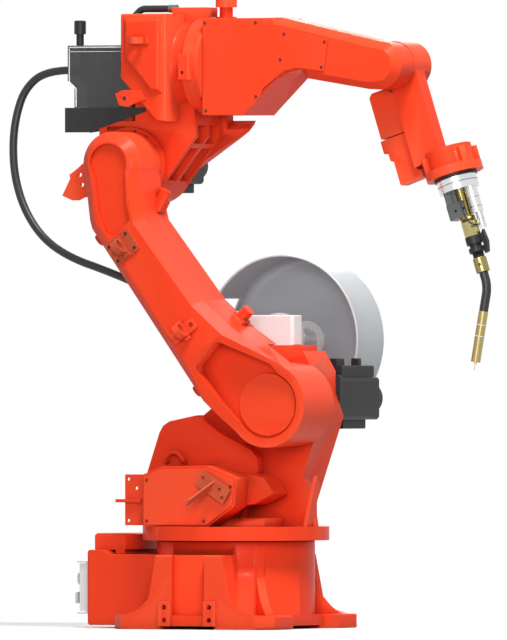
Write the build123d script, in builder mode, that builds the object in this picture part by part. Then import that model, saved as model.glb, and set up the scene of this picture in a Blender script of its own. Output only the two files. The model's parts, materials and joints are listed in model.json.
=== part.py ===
"""Six-axis arc-welding robot arm with wire feeder, spool cover and torch.

Millimetres. The first axis is Z through the origin, on the floor; +X is the way the arm
reaches and +Y its far side, away from the side that carries the upper arm.
"""
import os
from math import cos, radians, sin, sqrt, tan

from build123d import *

os.makedirs("parts", exist_ok=True)

# Joint layout
J2_X = 150.0
J2_Z = 470.0
UPPER_ARM = 620.0
ARM_LEAN = 36.0
ELBOW_RISE = 208.0
FOREARM_REACH = 583.0
FLANGE_REACH = 167.0
WRIST_TILT = 18.0
J6_OFFSET = 58.0
J6_Y = 20.0

# Clearances
TURN_GAP = 0.3
RUN_GAP = 3.0

# Base
BASE_R = 166.0
BASE_TOP = 184.5
PLATE_X = 188.0
PLATE_Y = 222.0
PLATE_T = 29.0
PLATE_CHAMFER = 30.0
FRONT_RECESS = 22.0
FRONT_RECESS_Y = 105.0
RELIEF_H = 6.5
RELIEF_HALF = 62.0
BOLT_X = 150.0
BOLT_Y = 190.0
BOLT_HOLE_R = 9.0
TOWER_TOP = 155.0
TOWER_IN = 38.0
TOWER_OUT = 75.0
TOWER_T = 20.0
BAY_RECESS = 12.0
PAD_X = 53.0
PAD_W = 28.0
PAD_H = 53.0
PAD_T = 7.0
PAD_Z = 32.5
PAD_HOLE_R = 5.1
PAD_HOLE_PITCH = 27.0
PAD_HOLE_DEPTH = 25.0
GUSSET_T = 18.0
GUSSET_R = 232.0
GUSSET_TOP = 128.0
REAR_BOX_X = -299.0
REAR_BOX_Y = 106.0
REAR_BOX_FLOOR = 6.0
REAR_BOX_TOP = 155.0
REAR_STEP = 9.0
HOOD_FRONT = -208.0
HOOD_Y = 80.0
HOOD_H = 44.0
SOCKET_T = 22.0
SOCKET_Y = 95.0
SOCKET_LOW = 29.0
SOCKET_HIGH = 141.0

# Turret
DISC_R = 196.0
DISC_T = 29.0
WALL_NEAR = -14.0
WALL_FAR = 90.0
HUMP_NEAR = -45.0
BOSS_R = 88.0
BOSS_NEAR = -104.0
PAD_TOP_T = 12.0
SIDE_NEAR = -161.0
STEP_NEAR = -105.0
COVER_T = 4.0
SPACER_T = 7.0
LEG_REACH = 74.0
RIB_T = 20.0
PLINTH_H = 18.0
MOTOR_W = 90.0
MOTOR_L = 192.0
MOTOR_FLANGE_T = 12.0
MOTOR_RISE = 12.0
ENCODER_T = 38.0
SHEET_T = 4.0

# Wire spool
SPOOL_X = -44.0
SPOOL_Z = 605.0
SPOOL_R = 180.0
SPOOL_WALL = 4.0
SPOOL_NEAR = 300.0
SPOOL_DEPTH = 138.0
SPOOL_ROUND = 18.0
ADAPTER_RISE = 50.0
OUTLET_DEPTH = 108.0
OUTLET_LOW = 70.0
OUTLET_HIGH = 87.0
SPINDLE_R = 24.0
SPINDLE_FLANGE_R = 57.0
SPINDLE_NUT_R = 40.0

# Upper arm
ARM_R2 = 90.0
ARM_R3 = 68.0
ARM_END_SHIFT = 3.0
ARM_END_SIDE = -7.6
ARM_REAR = 110.0
ARM_NEAR = -188.0
ARM_FAR = -62.0
ARM_J2_NEAR = -157.0
ARM_J3_FAR = -76.0
ARM_BEVEL = 21.0
ARM_FLOOR = -147.0
CAP_R = 66.0
CAP_T = 3.0
RECESS = 7.0
LOWER_CLIP = 228.0
STUD_R = 13.0
STUD_H = 21.0
STUD_BASE_R = 16.0
STUD_BASE_H = 11.0

# Elbow
HUB_R = 80.0
HUB_FAR = 64.0
WEB_T = 13.0
RING_R = 104.0
RING_T = 28.0
NECK_RING_R = 82.0
SWEEP_R = 146.0
BLOCK_FRONT = 109.0
BLOCK_REAR = 5.0
BLOCK_TOP = 318.0
BLOCK_NEAR = -31.0
BLOCK_FAR = 100.0
SHOULDER_TOP = 93.0
SHOULDER_REAR = -80.0
COVER_NEAR = -120.0
TRAY_NEAR = -56.0
TRAY_FAR = 60.0
TRAY_TOP = 122.0
FEEDER_REAR = -157.0
FEEDER_H = 131.0
CABLE_R = 7.5
WEB_NEAR = -56.0
POCKET_W = 40.0
PLATE_FAR = 92.0
LUG_T = 8.0
PANEL_H = 8.0
J3_MOTOR_W = 76.0
J3_MOTOR_L = 104.0
CASE_NEAR = -52.0
CASE_BACK = 0.0
CASE_WALL = 3.0
CLIP_R = 13.0
CLIP_W = 14.0
CONDUIT_R = 8.5
CONDUIT_GRIP = 0.5
CONDUIT_Y = 12.0
GLAND_Z = 202.0
CLIP_X = -128.0
CLIP_Z = 690.0

# Forearm
FORE_NEAR = -78.0
FORE_FAR = 78.0
SLAB_FAR = 2.0
FORE_R5 = 51.0
FORE_BEVEL = 18.0
POST_R = 22.5
POST_NECK_R = 14.0
FORE_RING_T = 9.0

# Wrist and tool, along the sixth axis from the fifth
HEAD_FAR = 83.0
WRIST_FAR = 48.0
WRIST_NEAR = 8.0
J6_HOUSING_TOP = 203.0
J6_HOUSING_R = 50.0
DRIVE_END = 243.0
COVER_INSET = 10.0
J6_RING_R = 61.0
J6_RING_LOW = 262.0
J6_RING_T = 19.0
FLANGE_R = 43.0
FLANGE_T = 27.0
TORCH_R = 11.0
FLANGE_RING_T = 6.0
HOLDER_TOP = 318.0
HOLDER_LOW = 352.0
HOLDER_HALF = 17.0
HOLDER_BACK = -33.0
NUT_R = 16.0
NUT_LOW = 364.0
HEX_R = 19.0
HEX_LOW = 396.0
CLAMP_R = 18.0
CLAMP_LOW = 442.0
COLLAR_R = 14.5
COLLAR_LOW = 474.0
SENSOR_R = 13.0
SENSOR_Q = 26.0
SENSOR_L = 55.0
NECK_R = 9.5
NECK_LEAD = 12.0
NECK_TAIL = 34.0
NECK_BEND_R = 75.0
NECK_TURN = 28.0
NOZZLE_R = 10.0
NOZZLE_L = 108.0
NOZZLE_BORE = 24.0
TIP_R = 3.0
WIRE_R = 0.8
WIRE_L = 14.0

# Joint centres worked out from the layout
J3_X = J2_X - UPPER_ARM * sin(radians(ARM_LEAN))
J3_Z = J2_Z + UPPER_ARM * cos(radians(ARM_LEAN))
J4_Z = J3_Z + ELBOW_RISE
FLANGE_X = J3_X + FLANGE_REACH
J5_X = J3_X + FOREARM_REACH
DISC_LOW = BASE_TOP + TURN_GAP
DISC_TOP = DISC_LOW + DISC_T


def side(y, x=0.0, z=0.0):
    """Upright plane facing the near side: local x is X, local y is Z, normal is -Y."""
    return Plane(origin=(x, y, z), x_dir=(1, 0, 0), z_dir=(0, -1, 0))


def arm_side(y):
    """Like side, turned so that local x runs from the second axis to the third."""
    lean = radians(ARM_LEAN)
    return Plane(origin=(J2_X, y, J2_Z), x_dir=(-sin(lean), 0, cos(lean)), z_dir=(0, -1, 0))


def elbow_side(y):
    return side(y, J3_X, J3_Z)


def forearm_side(y):
    return side(y, FLANGE_X, J4_Z)


def wrist_side(y):
    """Like side, from the fifth axis: local x runs along the tool, local y forwards."""
    tilt = radians(WRIST_TILT)
    return Plane(origin=(J5_X, y, J4_Z), x_dir=(sin(tilt), 0, -cos(tilt)), z_dir=(0, -1, 0))


def tool_plane(along):
    """Plane across the sixth axis, at a distance along it; its normal is the tool's way."""
    base = wrist_side(J6_Y)
    origin = base.from_local_coords((along, J6_OFFSET, 0))
    return Plane(origin=origin, x_dir=base.y_dir, z_dir=base.x_dir)


def roll_plane(x):
    """Plane across the fourth axis: local x is Y, local y is Z, normal is +X."""
    return Plane(origin=(x, 0, J4_Z), x_dir=(0, 1, 0), z_dir=(1, 0, 0))


def prism(plane, points, depth, radius=0, mode=Mode.ADD):
    """Extrude a closed outline, with its corners rounded where a radius is given."""
    with BuildSketch(plane) as face:
        with BuildLine():
            if radius:
                FilletPolyline(*points, radius=radius, close=True)
            else:
                Polyline(*points, close=True)
        make_face()
    extrude(face.sketch, amount=depth, mode=mode)


def drum(plane, centre, radius, depth, mode=Mode.ADD):
    """Extrude a disc."""
    with BuildSketch(plane) as face:
        with Locations(centre):
            Circle(radius)
    extrude(face.sketch, amount=depth, mode=mode)


def block(x_range, y_range, z_range, mode=Mode.ADD):
    """Box between pairs of limits."""
    spans = (x_range, y_range, z_range)
    middle = tuple((low + high) / 2 for low, high in spans)
    size = tuple(abs(high - low) for low, high in spans)
    with Locations(middle):
        Box(*size, mode=mode)


def save(built, name):
    """Label a finished piece and write it."""
    built.part.label = name
    export_step(built.part, f"parts/{name}.step")


# Base casting: foot plate, drum, flared towers with tapped pads, corner gussets
plate_outline = [
    (PLATE_X, -PLATE_Y + PLATE_CHAMFER),
    (PLATE_X, -FRONT_RECESS_Y),
    (PLATE_X - FRONT_RECESS, -FRONT_RECESS_Y + FRONT_RECESS),
    (PLATE_X - FRONT_RECESS, FRONT_RECESS_Y - FRONT_RECESS),
    (PLATE_X, FRONT_RECESS_Y),
    (PLATE_X, PLATE_Y - PLATE_CHAMFER),
    (PLATE_X - PLATE_CHAMFER, PLATE_Y),
    (-PLATE_X + PLATE_CHAMFER, PLATE_Y),
    (-PLATE_X, PLATE_Y - PLATE_CHAMFER),
    (-PLATE_X, REAR_BOX_Y + TURN_GAP),
    (-BASE_R * 0.5, REAR_BOX_Y + TURN_GAP),
    (-BASE_R * 0.5, -REAR_BOX_Y - TURN_GAP),
    (-PLATE_X, -REAR_BOX_Y - TURN_GAP),
    (-PLATE_X, -PLATE_Y + PLATE_CHAMFER),
    (-PLATE_X + PLATE_CHAMFER, -PLATE_Y),
    (PLATE_X - PLATE_CHAMFER, -PLATE_Y),
]
tower_half = [
    (TOWER_IN, 0),
    (PLATE_X - PLATE_CHAMFER - 6, 0),
    (PLATE_X - PLATE_CHAMFER - 6, PLATE_T),
    (TOWER_OUT + 42, PLATE_T + 10),
    (TOWER_OUT + 18, PLATE_T + 36),
    (TOWER_OUT, TOWER_TOP),
    (TOWER_IN, TOWER_TOP),
]
with BuildPart() as base_casting:
    prism(Plane.XY, plate_outline, PLATE_T)
    drum(Plane.XY, (0, 0), BASE_R, BASE_TOP)
    for face_sign in (-1, 1):
        face_y = face_sign * PLATE_Y
        back_y = face_sign * (PLATE_Y - TOWER_T)
        near_y = max(face_y, back_y)
        for sign in (-1, 1):
            prism(side(near_y), [(sign * x, z) for x, z in tower_half], TOWER_T)
            block(
                sorted((sign * TOWER_IN, sign * TOWER_OUT)),
                sorted((back_y, face_sign * BASE_R * 0.8)),
                (0, TOWER_TOP),
            )
            block(
                (sign * PAD_X - PAD_W / 2, sign * PAD_X + PAD_W / 2),
                sorted((face_y, face_y + face_sign * PAD_T)),
                (PAD_Z - PAD_H / 2, PAD_Z + PAD_H / 2),
            )
        block(
            (-TOWER_IN, TOWER_IN),
            sorted((face_sign * BASE_R * 0.8, face_sign * (PLATE_Y - BAY_RECESS))),
            (0, TOWER_TOP),
        )
    with BuildSketch(side(-PLATE_Y - PAD_T, 0, PAD_Z)) as pad_holes:
        with GridLocations(2 * PAD_X, PAD_HOLE_PITCH, 2, 2):
            Circle(PAD_HOLE_R)
    extrude(pad_holes.sketch, amount=-PAD_HOLE_DEPTH, mode=Mode.SUBTRACT)
    for corner in (45, 135, 225, 315):
        gusset_plane = Plane(
            origin=(0, 0, 0),
            x_dir=(cos(radians(corner)), sin(radians(corner)), 0),
            z_dir=(sin(radians(corner)), -cos(radians(corner)), 0),
        )
        with BuildSketch(gusset_plane) as gusset:
            with BuildLine():
                foot = (GUSSET_R, PLATE_T)
                root = (BASE_R - 4, GUSSET_TOP)
                Polyline(root, (BASE_R - 20, GUSSET_TOP), (BASE_R - 20, PLATE_T - 5), (GUSSET_R, PLATE_T - 5), foot)
                SagittaArc(foot, root, 14)
            make_face()
        extrude(gusset.sketch, amount=GUSSET_T / 2, both=True)
    with Locations(Plane.XY.offset(PLATE_T)):
        with GridLocations(2 * BOLT_X, 2 * BOLT_Y, 2, 2):
            Hole(BOLT_HOLE_R, depth=PLATE_T)
    block((-RELIEF_HALF, RELIEF_HALF), (-PLATE_Y - PAD_T, PLATE_Y + PAD_T), (0, RELIEF_H), mode=Mode.SUBTRACT)
    block((0, PLATE_X), (-RELIEF_HALF, RELIEF_HALF), (0, RELIEF_H), mode=Mode.SUBTRACT)
    drum(Plane.XY, (0, 0), BASE_R * 0.3, BASE_TOP * 0.5, mode=Mode.SUBTRACT)
save(base_casting, "base_casting")

# Rear box with its stepped top, seated against the drum
with BuildPart() as base_rear_box:
    prism(
        side(REAR_BOX_Y),
        [
            (REAR_BOX_X, REAR_BOX_FLOOR),
            (-BASE_R * 0.5 - TURN_GAP, REAR_BOX_FLOOR),
            (-BASE_R * 0.5 - TURN_GAP, REAR_BOX_TOP),
            (REAR_BOX_X + 54, REAR_BOX_TOP),
            (REAR_BOX_X + 42, REAR_BOX_TOP + REAR_STEP),
            (REAR_BOX_X, REAR_BOX_TOP + REAR_STEP),
        ],
        2 * REAR_BOX_Y,
    )
    drum(Plane.XY, (0, 0), BASE_R + TURN_GAP, BASE_TOP + REAR_STEP, mode=Mode.SUBTRACT)
    chamfer(base_rear_box.faces().sort_by(Axis.X)[0].edges(), length=5)
save(base_rear_box, "base_rear_box")

# Hood over the cable entry, behind the turning disc
with BuildPart() as base_rear_hood:
    hood_low = REAR_BOX_TOP + REAR_STEP
    hood_rear = REAR_BOX_X + 6
    prism(
        Plane.XY.offset(hood_low),
        [
            (hood_rear, -HOOD_Y),
            (HOOD_FRONT - 14, -HOOD_Y),
            (HOOD_FRONT, -HOOD_Y + 34),
            (HOOD_FRONT, HOOD_Y - 34),
            (HOOD_FRONT - 14, HOOD_Y),
            (hood_rear, HOOD_Y),
        ],
        HOOD_H - REAR_STEP,
    )
    block((REAR_BOX_X + 56, HOOD_FRONT - 14), (-HOOD_Y, HOOD_Y), (REAR_BOX_TOP, hood_low))
    chamfer(base_rear_hood.faces().sort_by(Axis.Z)[-1].edges(), length=4)
save(base_rear_hood, "base_rear_hood")

# Connector panel on the back of the rear box
with BuildPart() as connector_panel:
    block((REAR_BOX_X - SOCKET_T, REAR_BOX_X), (-SOCKET_Y, SOCKET_Y), (SOCKET_LOW + 6, SOCKET_HIGH - 6))
    for low in (SOCKET_LOW, SOCKET_HIGH - 4):
        block((REAR_BOX_X - SOCKET_T - 4, REAR_BOX_X), (-SOCKET_Y - 4, SOCKET_Y + 4), (low, low + 4))
    for low in (SOCKET_LOW + 4, SOCKET_HIGH - 6):
        block((REAR_BOX_X - 8, REAR_BOX_X), (-SOCKET_Y, SOCKET_Y), (low, low + 2))
    back = Plane(origin=(REAR_BOX_X - SOCKET_T, 0, (SOCKET_LOW + SOCKET_HIGH) / 2), x_dir=(0, -1, 0), z_dir=(-1, 0, 0))
    with BuildSketch(back) as plugs:
        with Locations((-62, 0), (2, 0)):
            Circle(27)
        with Locations((66, 18)):
            Circle(13)
        with Locations((66, -22)):
            RectangleRounded(44, 24, 4)
    extrude(plugs.sketch, amount=14)
save(connector_panel, "base_connector_panel")

# Turret casting: turning disc, rear hump, upright wall with the second axis's boss
wall_outline = [
    (-DISC_R + 12, DISC_TOP - DISC_T / 2),
    (-DISC_R + 8, J2_Z - 147),
    (J2_X - 308, J2_Z - 60),
    (J2_X - 299, J2_Z - 45),
    (J2_X - 284, J2_Z - 36),
    (J2_X - 219, J2_Z - 23),
    (J2_X - 110, J2_Z + 60),
    (J2_X - 80, J2_Z + 112),
    (J2_X + 14, J2_Z + 112),
    (J2_X + 39, J2_Z + 70),
    (J2_X + 39, J2_Z + 24),
    (J2_X + 58, J2_Z - 25),
    (J2_X - 5, DISC_TOP + 51),
    (J2_X - 5, DISC_TOP - DISC_T / 2),
]
with BuildPart() as turret_casting:
    drum(Plane.XY.offset(DISC_LOW), (0, 0), DISC_R, DISC_T)
    prism(side(WALL_FAR), wall_outline, WALL_FAR - WALL_NEAR)
    hump = wall_outline[:6] + [
        (J2_X - 163, J2_Z - 62),
        (J2_X - 92, J2_Z - 96),
        (J2_X - 78, J2_Z - 112),
        (J2_X - 75, J2_Z - 140),
        (J2_X - 110, DISC_TOP + 60),
        (J2_X - 110, DISC_TOP - DISC_T / 2),
    ]
    prism(side(WALL_NEAR), hump, WALL_NEAR - HUMP_NEAR)
    drum(side(WALL_NEAR), (J2_X, J2_Z), BOSS_R, WALL_NEAR - BOSS_NEAR)
    prism(
        side(HUMP_NEAR + 5),
        [
            (J2_X - 287, DISC_TOP - 4),
            (J2_X - 122, DISC_TOP - 4),
            (J2_X - 112, DISC_TOP + 40),
            (J2_X - 50, DISC_TOP + 49),
            (J2_X - 8, DISC_TOP + 70),
            (J2_X - 31, DISC_TOP + 103),
            (J2_X - 84, DISC_TOP + 114),
            (J2_X - 150, DISC_TOP + 132),
            (J2_X - 287, DISC_TOP + 118),
        ],
        HUMP_NEAR + 5 - STEP_NEAR,
    )
    prism(
        side(STEP_NEAR),
        [
            (J2_X - 287, DISC_TOP),
            (J2_X - 134, DISC_TOP),
            (J2_X - 71, DISC_TOP + 44),
            (J2_X - 66, DISC_TOP + 101),
            (J2_X - 139, DISC_TOP + 128),
            (J2_X - 245, DISC_TOP + 126),
            (J2_X - 287, DISC_TOP + 109),
        ],
        STEP_NEAR - SIDE_NEAR,
    )
    block((J2_X - 150, J2_X - 30), (STEP_NEAR, WALL_NEAR), (DISC_TOP - 3, DISC_TOP + PLINTH_H))
    rib_z = DISC_TOP - 3
    prism(
        side(WALL_NEAR + RIB_T),
        [(J2_X - 30, rib_z), (J2_X + 42, rib_z), (J2_X + 28, rib_z + 92), (J2_X + 14, rib_z + 108), (J2_X, rib_z + 90)],
        RIB_T,
    )
    block((J2_X - 72, J2_X), (WALL_NEAR + 30, WALL_FAR - 8), (J2_Z + 100, J2_Z + 112 + PAD_TOP_T))
save(turret_casting, "turret_casting")

# Flat cover screwed on the turret's near side
cover_outline = [
    (J2_X - 283, DISC_TOP + 4),
    (J2_X - 136, DISC_TOP + 4),
    (J2_X - 76, DISC_TOP + 46),
    (J2_X - 71, DISC_TOP + 98),
    (J2_X - 140, DISC_TOP + 123),
    (J2_X - 244, DISC_TOP + 121),
    (J2_X - 283, DISC_TOP + 105),
]
with BuildPart() as turret_side_cover:
    prism(side(SIDE_NEAR), cover_outline, COVER_T, radius=4)
save(turret_side_cover, "turret_side_cover")

# Bent sheet bracket that carries a cable clip on the cover
with BuildPart() as turret_side_bracket:
    bracket_plane = Plane(
        origin=(J2_X - 112, SIDE_NEAR - COVER_T, DISC_TOP + 84),
        x_dir=(cos(radians(-32)), 0, sin(radians(-32))),
        z_dir=(0, -1, 0),
    )
    plate_plane = bracket_plane.offset(SPACER_T)
    prism(plate_plane, [(-42, -20), (36, -20), (36, 12), (28, 16), (-42, 16)], SHEET_T, radius=2)
    for spacer in ((-12, 2), (30, 5)):
        drum(bracket_plane, spacer, 6, SPACER_T + SHEET_T / 2)
    leg_plane = Plane(
        origin=plate_plane.from_local_coords((-8, 0, 0)), x_dir=(0, -1, 0), z_dir=bracket_plane.x_dir
    )
    prism(leg_plane, [(0, -14), (LEG_REACH, 36), (LEG_REACH, 52), (0, 15)], SHEET_T)
    with BuildSketch(plate_plane) as bracket_holes:
        with Locations((-32, 2), (14, 2), (28, -10)):
            Circle(4)
    extrude(bracket_holes.sketch, amount=SHEET_T, mode=Mode.SUBTRACT)
save(turret_side_bracket, "turret_side_bracket")

# Angle plate at the turret's rear with its cable bar
with BuildPart() as turret_rear_plate:
    plate_x = J2_X - 287
    block((plate_x - 71, plate_x), (STEP_NEAR, STEP_NEAR + SHEET_T), (DISC_TOP + 2, DISC_TOP + 109))
    block((plate_x - SHEET_T, plate_x), (STEP_NEAR, STEP_NEAR + 44), (DISC_TOP + 2, DISC_TOP + 109))
    block((plate_x - 90, plate_x - 30), (STEP_NEAR - 8, STEP_NEAR), (DISC_TOP + 50, DISC_TOP + 57))
    block((plate_x - 28, plate_x - 6), (STEP_NEAR - 10, STEP_NEAR), (DISC_TOP + 20, DISC_TOP + 38))
    with BuildSketch(side(STEP_NEAR)) as plate_holes:
        with Locations(
            (plate_x - 63, DISC_TOP + 12), (plate_x - 63, DISC_TOP + 99), (plate_x - 44, DISC_TOP + 80)
        ):
            Circle(3.5)
    extrude(plate_holes.sketch, amount=-SHEET_T, mode=Mode.SUBTRACT)
save(turret_rear_plate, "turret_rear_plate")


def servo_motor(plane, width, length, name):
    """Servo motor along a plane's normal: flange, square body, encoder cap and plugs."""
    with BuildPart() as motor:
        with BuildSketch(plane) as flange:
            RectangleRounded(width + 8, width + 8, 8)
        extrude(flange.sketch, amount=MOTOR_FLANGE_T)
        with BuildSketch(plane.offset(MOTOR_FLANGE_T)) as body:
            RectangleRounded(width, width, 9)
        extrude(body.sketch, amount=length - MOTOR_FLANGE_T)
        drum(plane.offset(length), (0, 0), width * 0.38, ENCODER_T)
        with BuildSketch(plane.offset(length * 0.18)) as hood:
            with Locations((0, width / 2 + 8)):
                RectangleRounded(width * 0.8, 32, 3)
        extrude(hood.sketch, amount=length * 0.78)
        with BuildSketch(plane.offset(length * 0.3)) as foot:
            with Locations((0, -width / 2 - 8)):
                RectangleRounded(width * 0.6, 22, 3)
        extrude(foot.sketch, amount=length * 0.55)
        for along, across, reach in ((0.29, 26, 0.19), (0.86, 16, 0.08)):
            with BuildSketch(plane.offset(length * along)) as plug:
                with Locations((0, width / 2 + 30)):
                    RectangleRounded(across, 18, 3)
            extrude(plug.sketch, amount=length * reach)
    save(motor, name)


far_side = Plane(origin=(J2_X, WALL_FAR, J2_Z + MOTOR_RISE), x_dir=(-1, 0, 0), z_dir=(0, 1, 0))
servo_motor(far_side, MOTOR_W, MOTOR_L, "j2_motor")

# Spool bracket: box on the turret's top pad, with an arm out to the spindle
bracket_low = J2_Z + 112 + PAD_TOP_T
bracket_high = SPOOL_Z + 52
with BuildPart() as spool_bracket:
    block((J2_X - 140, J2_X - 26), (WALL_NEAR + 34, WALL_NEAR + 80), (bracket_low, bracket_high))
    block((SPOOL_X - 45, J2_X - 140), (WALL_NEAR + 34, WALL_NEAR + 80), (bracket_low + 4, bracket_high))
    block((SPOOL_X - 45, SPOOL_X + 45), (WALL_NEAR + 80, SPOOL_NEAR - 14), (bracket_low + 4, bracket_high - 12))
    block((SPOOL_X - 38, SPOOL_X + 38), (WALL_NEAR + 110, SPOOL_NEAR - 30), (bracket_low + 4, bracket_high - 18),
          mode=Mode.SUBTRACT)
    chamfer(spool_bracket.edges().filter_by(Axis.Z).group_by(Axis.X)[-1], length=5)
save(spool_bracket, "spool_bracket")

# Spindle: flange on the bracket, shaft and end nut
with BuildPart() as spool_spindle:
    drum(side(SPOOL_NEAR - 4), (SPOOL_X, SPOOL_Z), SPINDLE_FLANGE_R, 10)
    drum(side(SPOOL_NEAR + SPOOL_DEPTH - SPOOL_WALL), (SPOOL_X, SPOOL_Z), SPINDLE_R, SPOOL_DEPTH - SPOOL_WALL + 4)
    drum(side(SPOOL_NEAR + SPOOL_DEPTH - SPOOL_WALL), (SPOOL_X, SPOOL_Z), SPINDLE_NUT_R, 16)
save(spool_spindle, "spool_spindle")

# Spool cover: a cap closed on its far end, with a wire outlet in the rear wall
with BuildPart() as spool_cover:
    spool_axis = Plane(origin=(SPOOL_X, SPOOL_NEAR, SPOOL_Z), x_dir=(1, 0, 0), z_dir=(0, 0, 1))
    shell_r = SPOOL_R - SPOOL_WALL
    shell_y = SPOOL_DEPTH - SPOOL_WALL
    with BuildSketch(spool_axis) as shell:
        with BuildLine():
            Polyline((0, shell_y), (shell_r - SPOOL_ROUND, shell_y))
            RadiusArc((shell_r - SPOOL_ROUND, shell_y), (shell_r, shell_y - SPOOL_ROUND), SPOOL_ROUND)
            Polyline((shell_r, shell_y - SPOOL_ROUND), (shell_r, 0), (SPOOL_R, 0), (SPOOL_R, shell_y - SPOOL_ROUND))
            RadiusArc(
                (SPOOL_R, shell_y - SPOOL_ROUND),
                (shell_r - SPOOL_ROUND, SPOOL_DEPTH),
                -SPOOL_ROUND - SPOOL_WALL,
            )
            Polyline((shell_r - SPOOL_ROUND, SPOOL_DEPTH), (0, SPOOL_DEPTH), (0, shell_y))
        make_face()
    revolve(shell.sketch, axis=Axis((SPOOL_X, SPOOL_NEAR, SPOOL_Z), (0, 1, 0)))
    block(
        (SPOOL_X - SPOOL_R, SPOOL_X - SPOOL_R * 0.6),
        (SPOOL_NEAR, SPOOL_NEAR + OUTLET_DEPTH),
        (SPOOL_Z - OUTLET_LOW, SPOOL_Z + OUTLET_HIGH),
        mode=Mode.SUBTRACT,
    )
save(spool_cover, "spool_cover")

# Upper arm: a bowed beam between two round ends
arm_outline = [
    (UPPER_ARM + 26, 52),
    (UPPER_ARM - 68, 104),
    (UPPER_ARM - 85, ARM_REAR),
    (ARM_R2, ARM_REAR),
    (-10, 89),
    (25, -86),
    (114, -56),
    (175, -34),
    (262, -13),
    (UPPER_ARM - 144, -4),
    (UPPER_ARM - 124, -12),
    (UPPER_ARM - 70, -42),
    (UPPER_ARM - 20, -71),
]
stud_mid = (ARM_NEAR + ARM_FAR) / 2 + 32
stud_places = [(UPPER_ARM - 112, -18, 156), (198, -27, 171), (UPPER_ARM - 92, ARM_REAR, 0), (136, ARM_REAR, 0)]
with BuildPart() as upper_arm:
    with BuildSketch(arm_side(ARM_FAR)) as beam:
        with BuildLine():
            Polyline(*arm_outline, close=True)
        make_face()
        Circle(ARM_R2)
        with Locations((UPPER_ARM - ARM_END_SHIFT, ARM_END_SIDE)):
            Circle(ARM_R3)
    extrude(beam.sketch, amount=ARM_FAR - ARM_NEAR)
    chamfer(upper_arm.faces().sort_by(Axis.Y)[0].outer_wire().edges(), length=ARM_BEVEL)
    wedge_plane = Plane(origin=(J2_X, 0, J2_Z), x_dir=arm_side(0).x_dir, z_dir=arm_side(0).y_dir)
    prism(
        wedge_plane.offset(-200),
        [(172, ARM_NEAR), (0, ARM_J2_NEAR), (-120, ARM_J2_NEAR), (-120, ARM_NEAR - 20), (172, ARM_NEAR - 20)],
        400,
        mode=Mode.SUBTRACT,
    )
    with BuildSketch(arm_side(ARM_FLOOR)) as end_pocket:
        with BuildLine():
            FilletPolyline((168, 4), (152, 80), (60, 78), (-20, 66), (0, -66), (60, -62), radius=14, close=True)
        make_face()
        Circle(CAP_R + 5)
    extrude(end_pocket.sketch, amount=ARM_FLOOR - ARM_NEAR, mode=Mode.SUBTRACT)
    with BuildSketch(arm_side(ARM_NEAR + RECESS)) as end_recess:
        with BuildLine():
            FilletPolyline(
                (UPPER_ARM + 2, 30),
                (UPPER_ARM - 70, 70),
                (UPPER_ARM - 118, 82),
                (UPPER_ARM - 136, 66),
                (UPPER_ARM - 128, 18),
                (UPPER_ARM - 96, 6),
                (UPPER_ARM - 22, -42),
                radius=9,
                close=True,
            )
        make_face()
        with Locations((UPPER_ARM - ARM_END_SHIFT, ARM_END_SIDE)):
            Circle(ARM_R3 - ARM_BEVEL - 4)
    extrude(end_recess.sketch, amount=RECESS, mode=Mode.SUBTRACT)
    drum(arm_side(ARM_FAR), (0, 0), BOSS_R + 40, ARM_FAR - BOSS_NEAR + RUN_GAP * 0.1, mode=Mode.SUBTRACT)
    drum(arm_side(ARM_FAR), (UPPER_ARM, 0), HUB_R + 30, ARM_FAR - ARM_J3_FAR, mode=Mode.SUBTRACT)
    for along, across, turn in stud_places:
        stud_plane = Plane(
            origin=arm_side(stud_mid).from_local_coords((along, across, 0)),
            x_dir=(0, 1, 0),
            z_dir=arm_side(0).y_dir.rotate(Axis.Y, turn),
        )
        with BuildSketch(stud_plane.offset(-12)) as stud_foot:
            RectangleRounded(2 * STUD_BASE_R, 2 * STUD_BASE_R, 3)
        extrude(stud_foot.sketch, amount=STUD_BASE_H + 12)
        drum(stud_plane.offset(STUD_BASE_H), (0, 0), STUD_R, STUD_H)
save(upper_arm, "upper_arm_casting")

# Cap over the second axis, on the pocket's floor
with BuildPart() as arm_cap:
    drum(arm_side(ARM_FLOOR), (0, 0), CAP_R, CAP_T)
    chamfer(arm_cap.faces().sort_by(Axis.Y)[0].edges(), length=1)
save(arm_cap, "arm_cap")



def hose_clip(plane, loop_r):
    """Bent strap for a hose: a foot on the plane and a loop standing on it."""
    across = Plane(origin=plane.origin, x_dir=plane.x_dir, z_dir=plane.y_dir)
    with BuildSketch(across) as strap:
        with Locations((0, -SHEET_T / 2)):
            Rectangle(46, SHEET_T)
        with Locations((0, -loop_r - SHEET_T)):
            Circle(loop_r + SHEET_T)
            Circle(loop_r, mode=Mode.SUBTRACT)
    extrude(strap.sketch, amount=CLIP_W / 2, both=True)


# Clips on the arm's near face: one on a square plate, one on a bent tab
with BuildPart() as arm_upper_clip:
    clip_plane = arm_side(ARM_NEAR).shift_origin(arm_side(ARM_NEAR).from_local_coords((UPPER_ARM - 165, 66, 0)))
    with BuildSketch(clip_plane) as clip_plate:
        RectangleRounded(52, 66, 3)
    extrude(clip_plate.sketch, amount=SHEET_T)
    hose_clip(clip_plane.offset(SHEET_T), CLIP_R)
save(arm_upper_clip, "arm_upper_clip")

with BuildPart() as arm_lower_clip:
    clip_plane = arm_side(ARM_NEAR).shift_origin(arm_side(ARM_NEAR).from_local_coords((LOWER_CLIP, 52, 0)))
    with BuildSketch(clip_plane) as clip_tab:
        RectangleRounded(26, 64, 3)
        with Locations((0, -22)):
            Circle(5, mode=Mode.SUBTRACT)
    extrude(clip_tab.sketch, amount=SHEET_T)
    hose_clip(clip_plane.offset(SHEET_T), CLIP_R)
save(arm_lower_clip, "arm_lower_clip")

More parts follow.
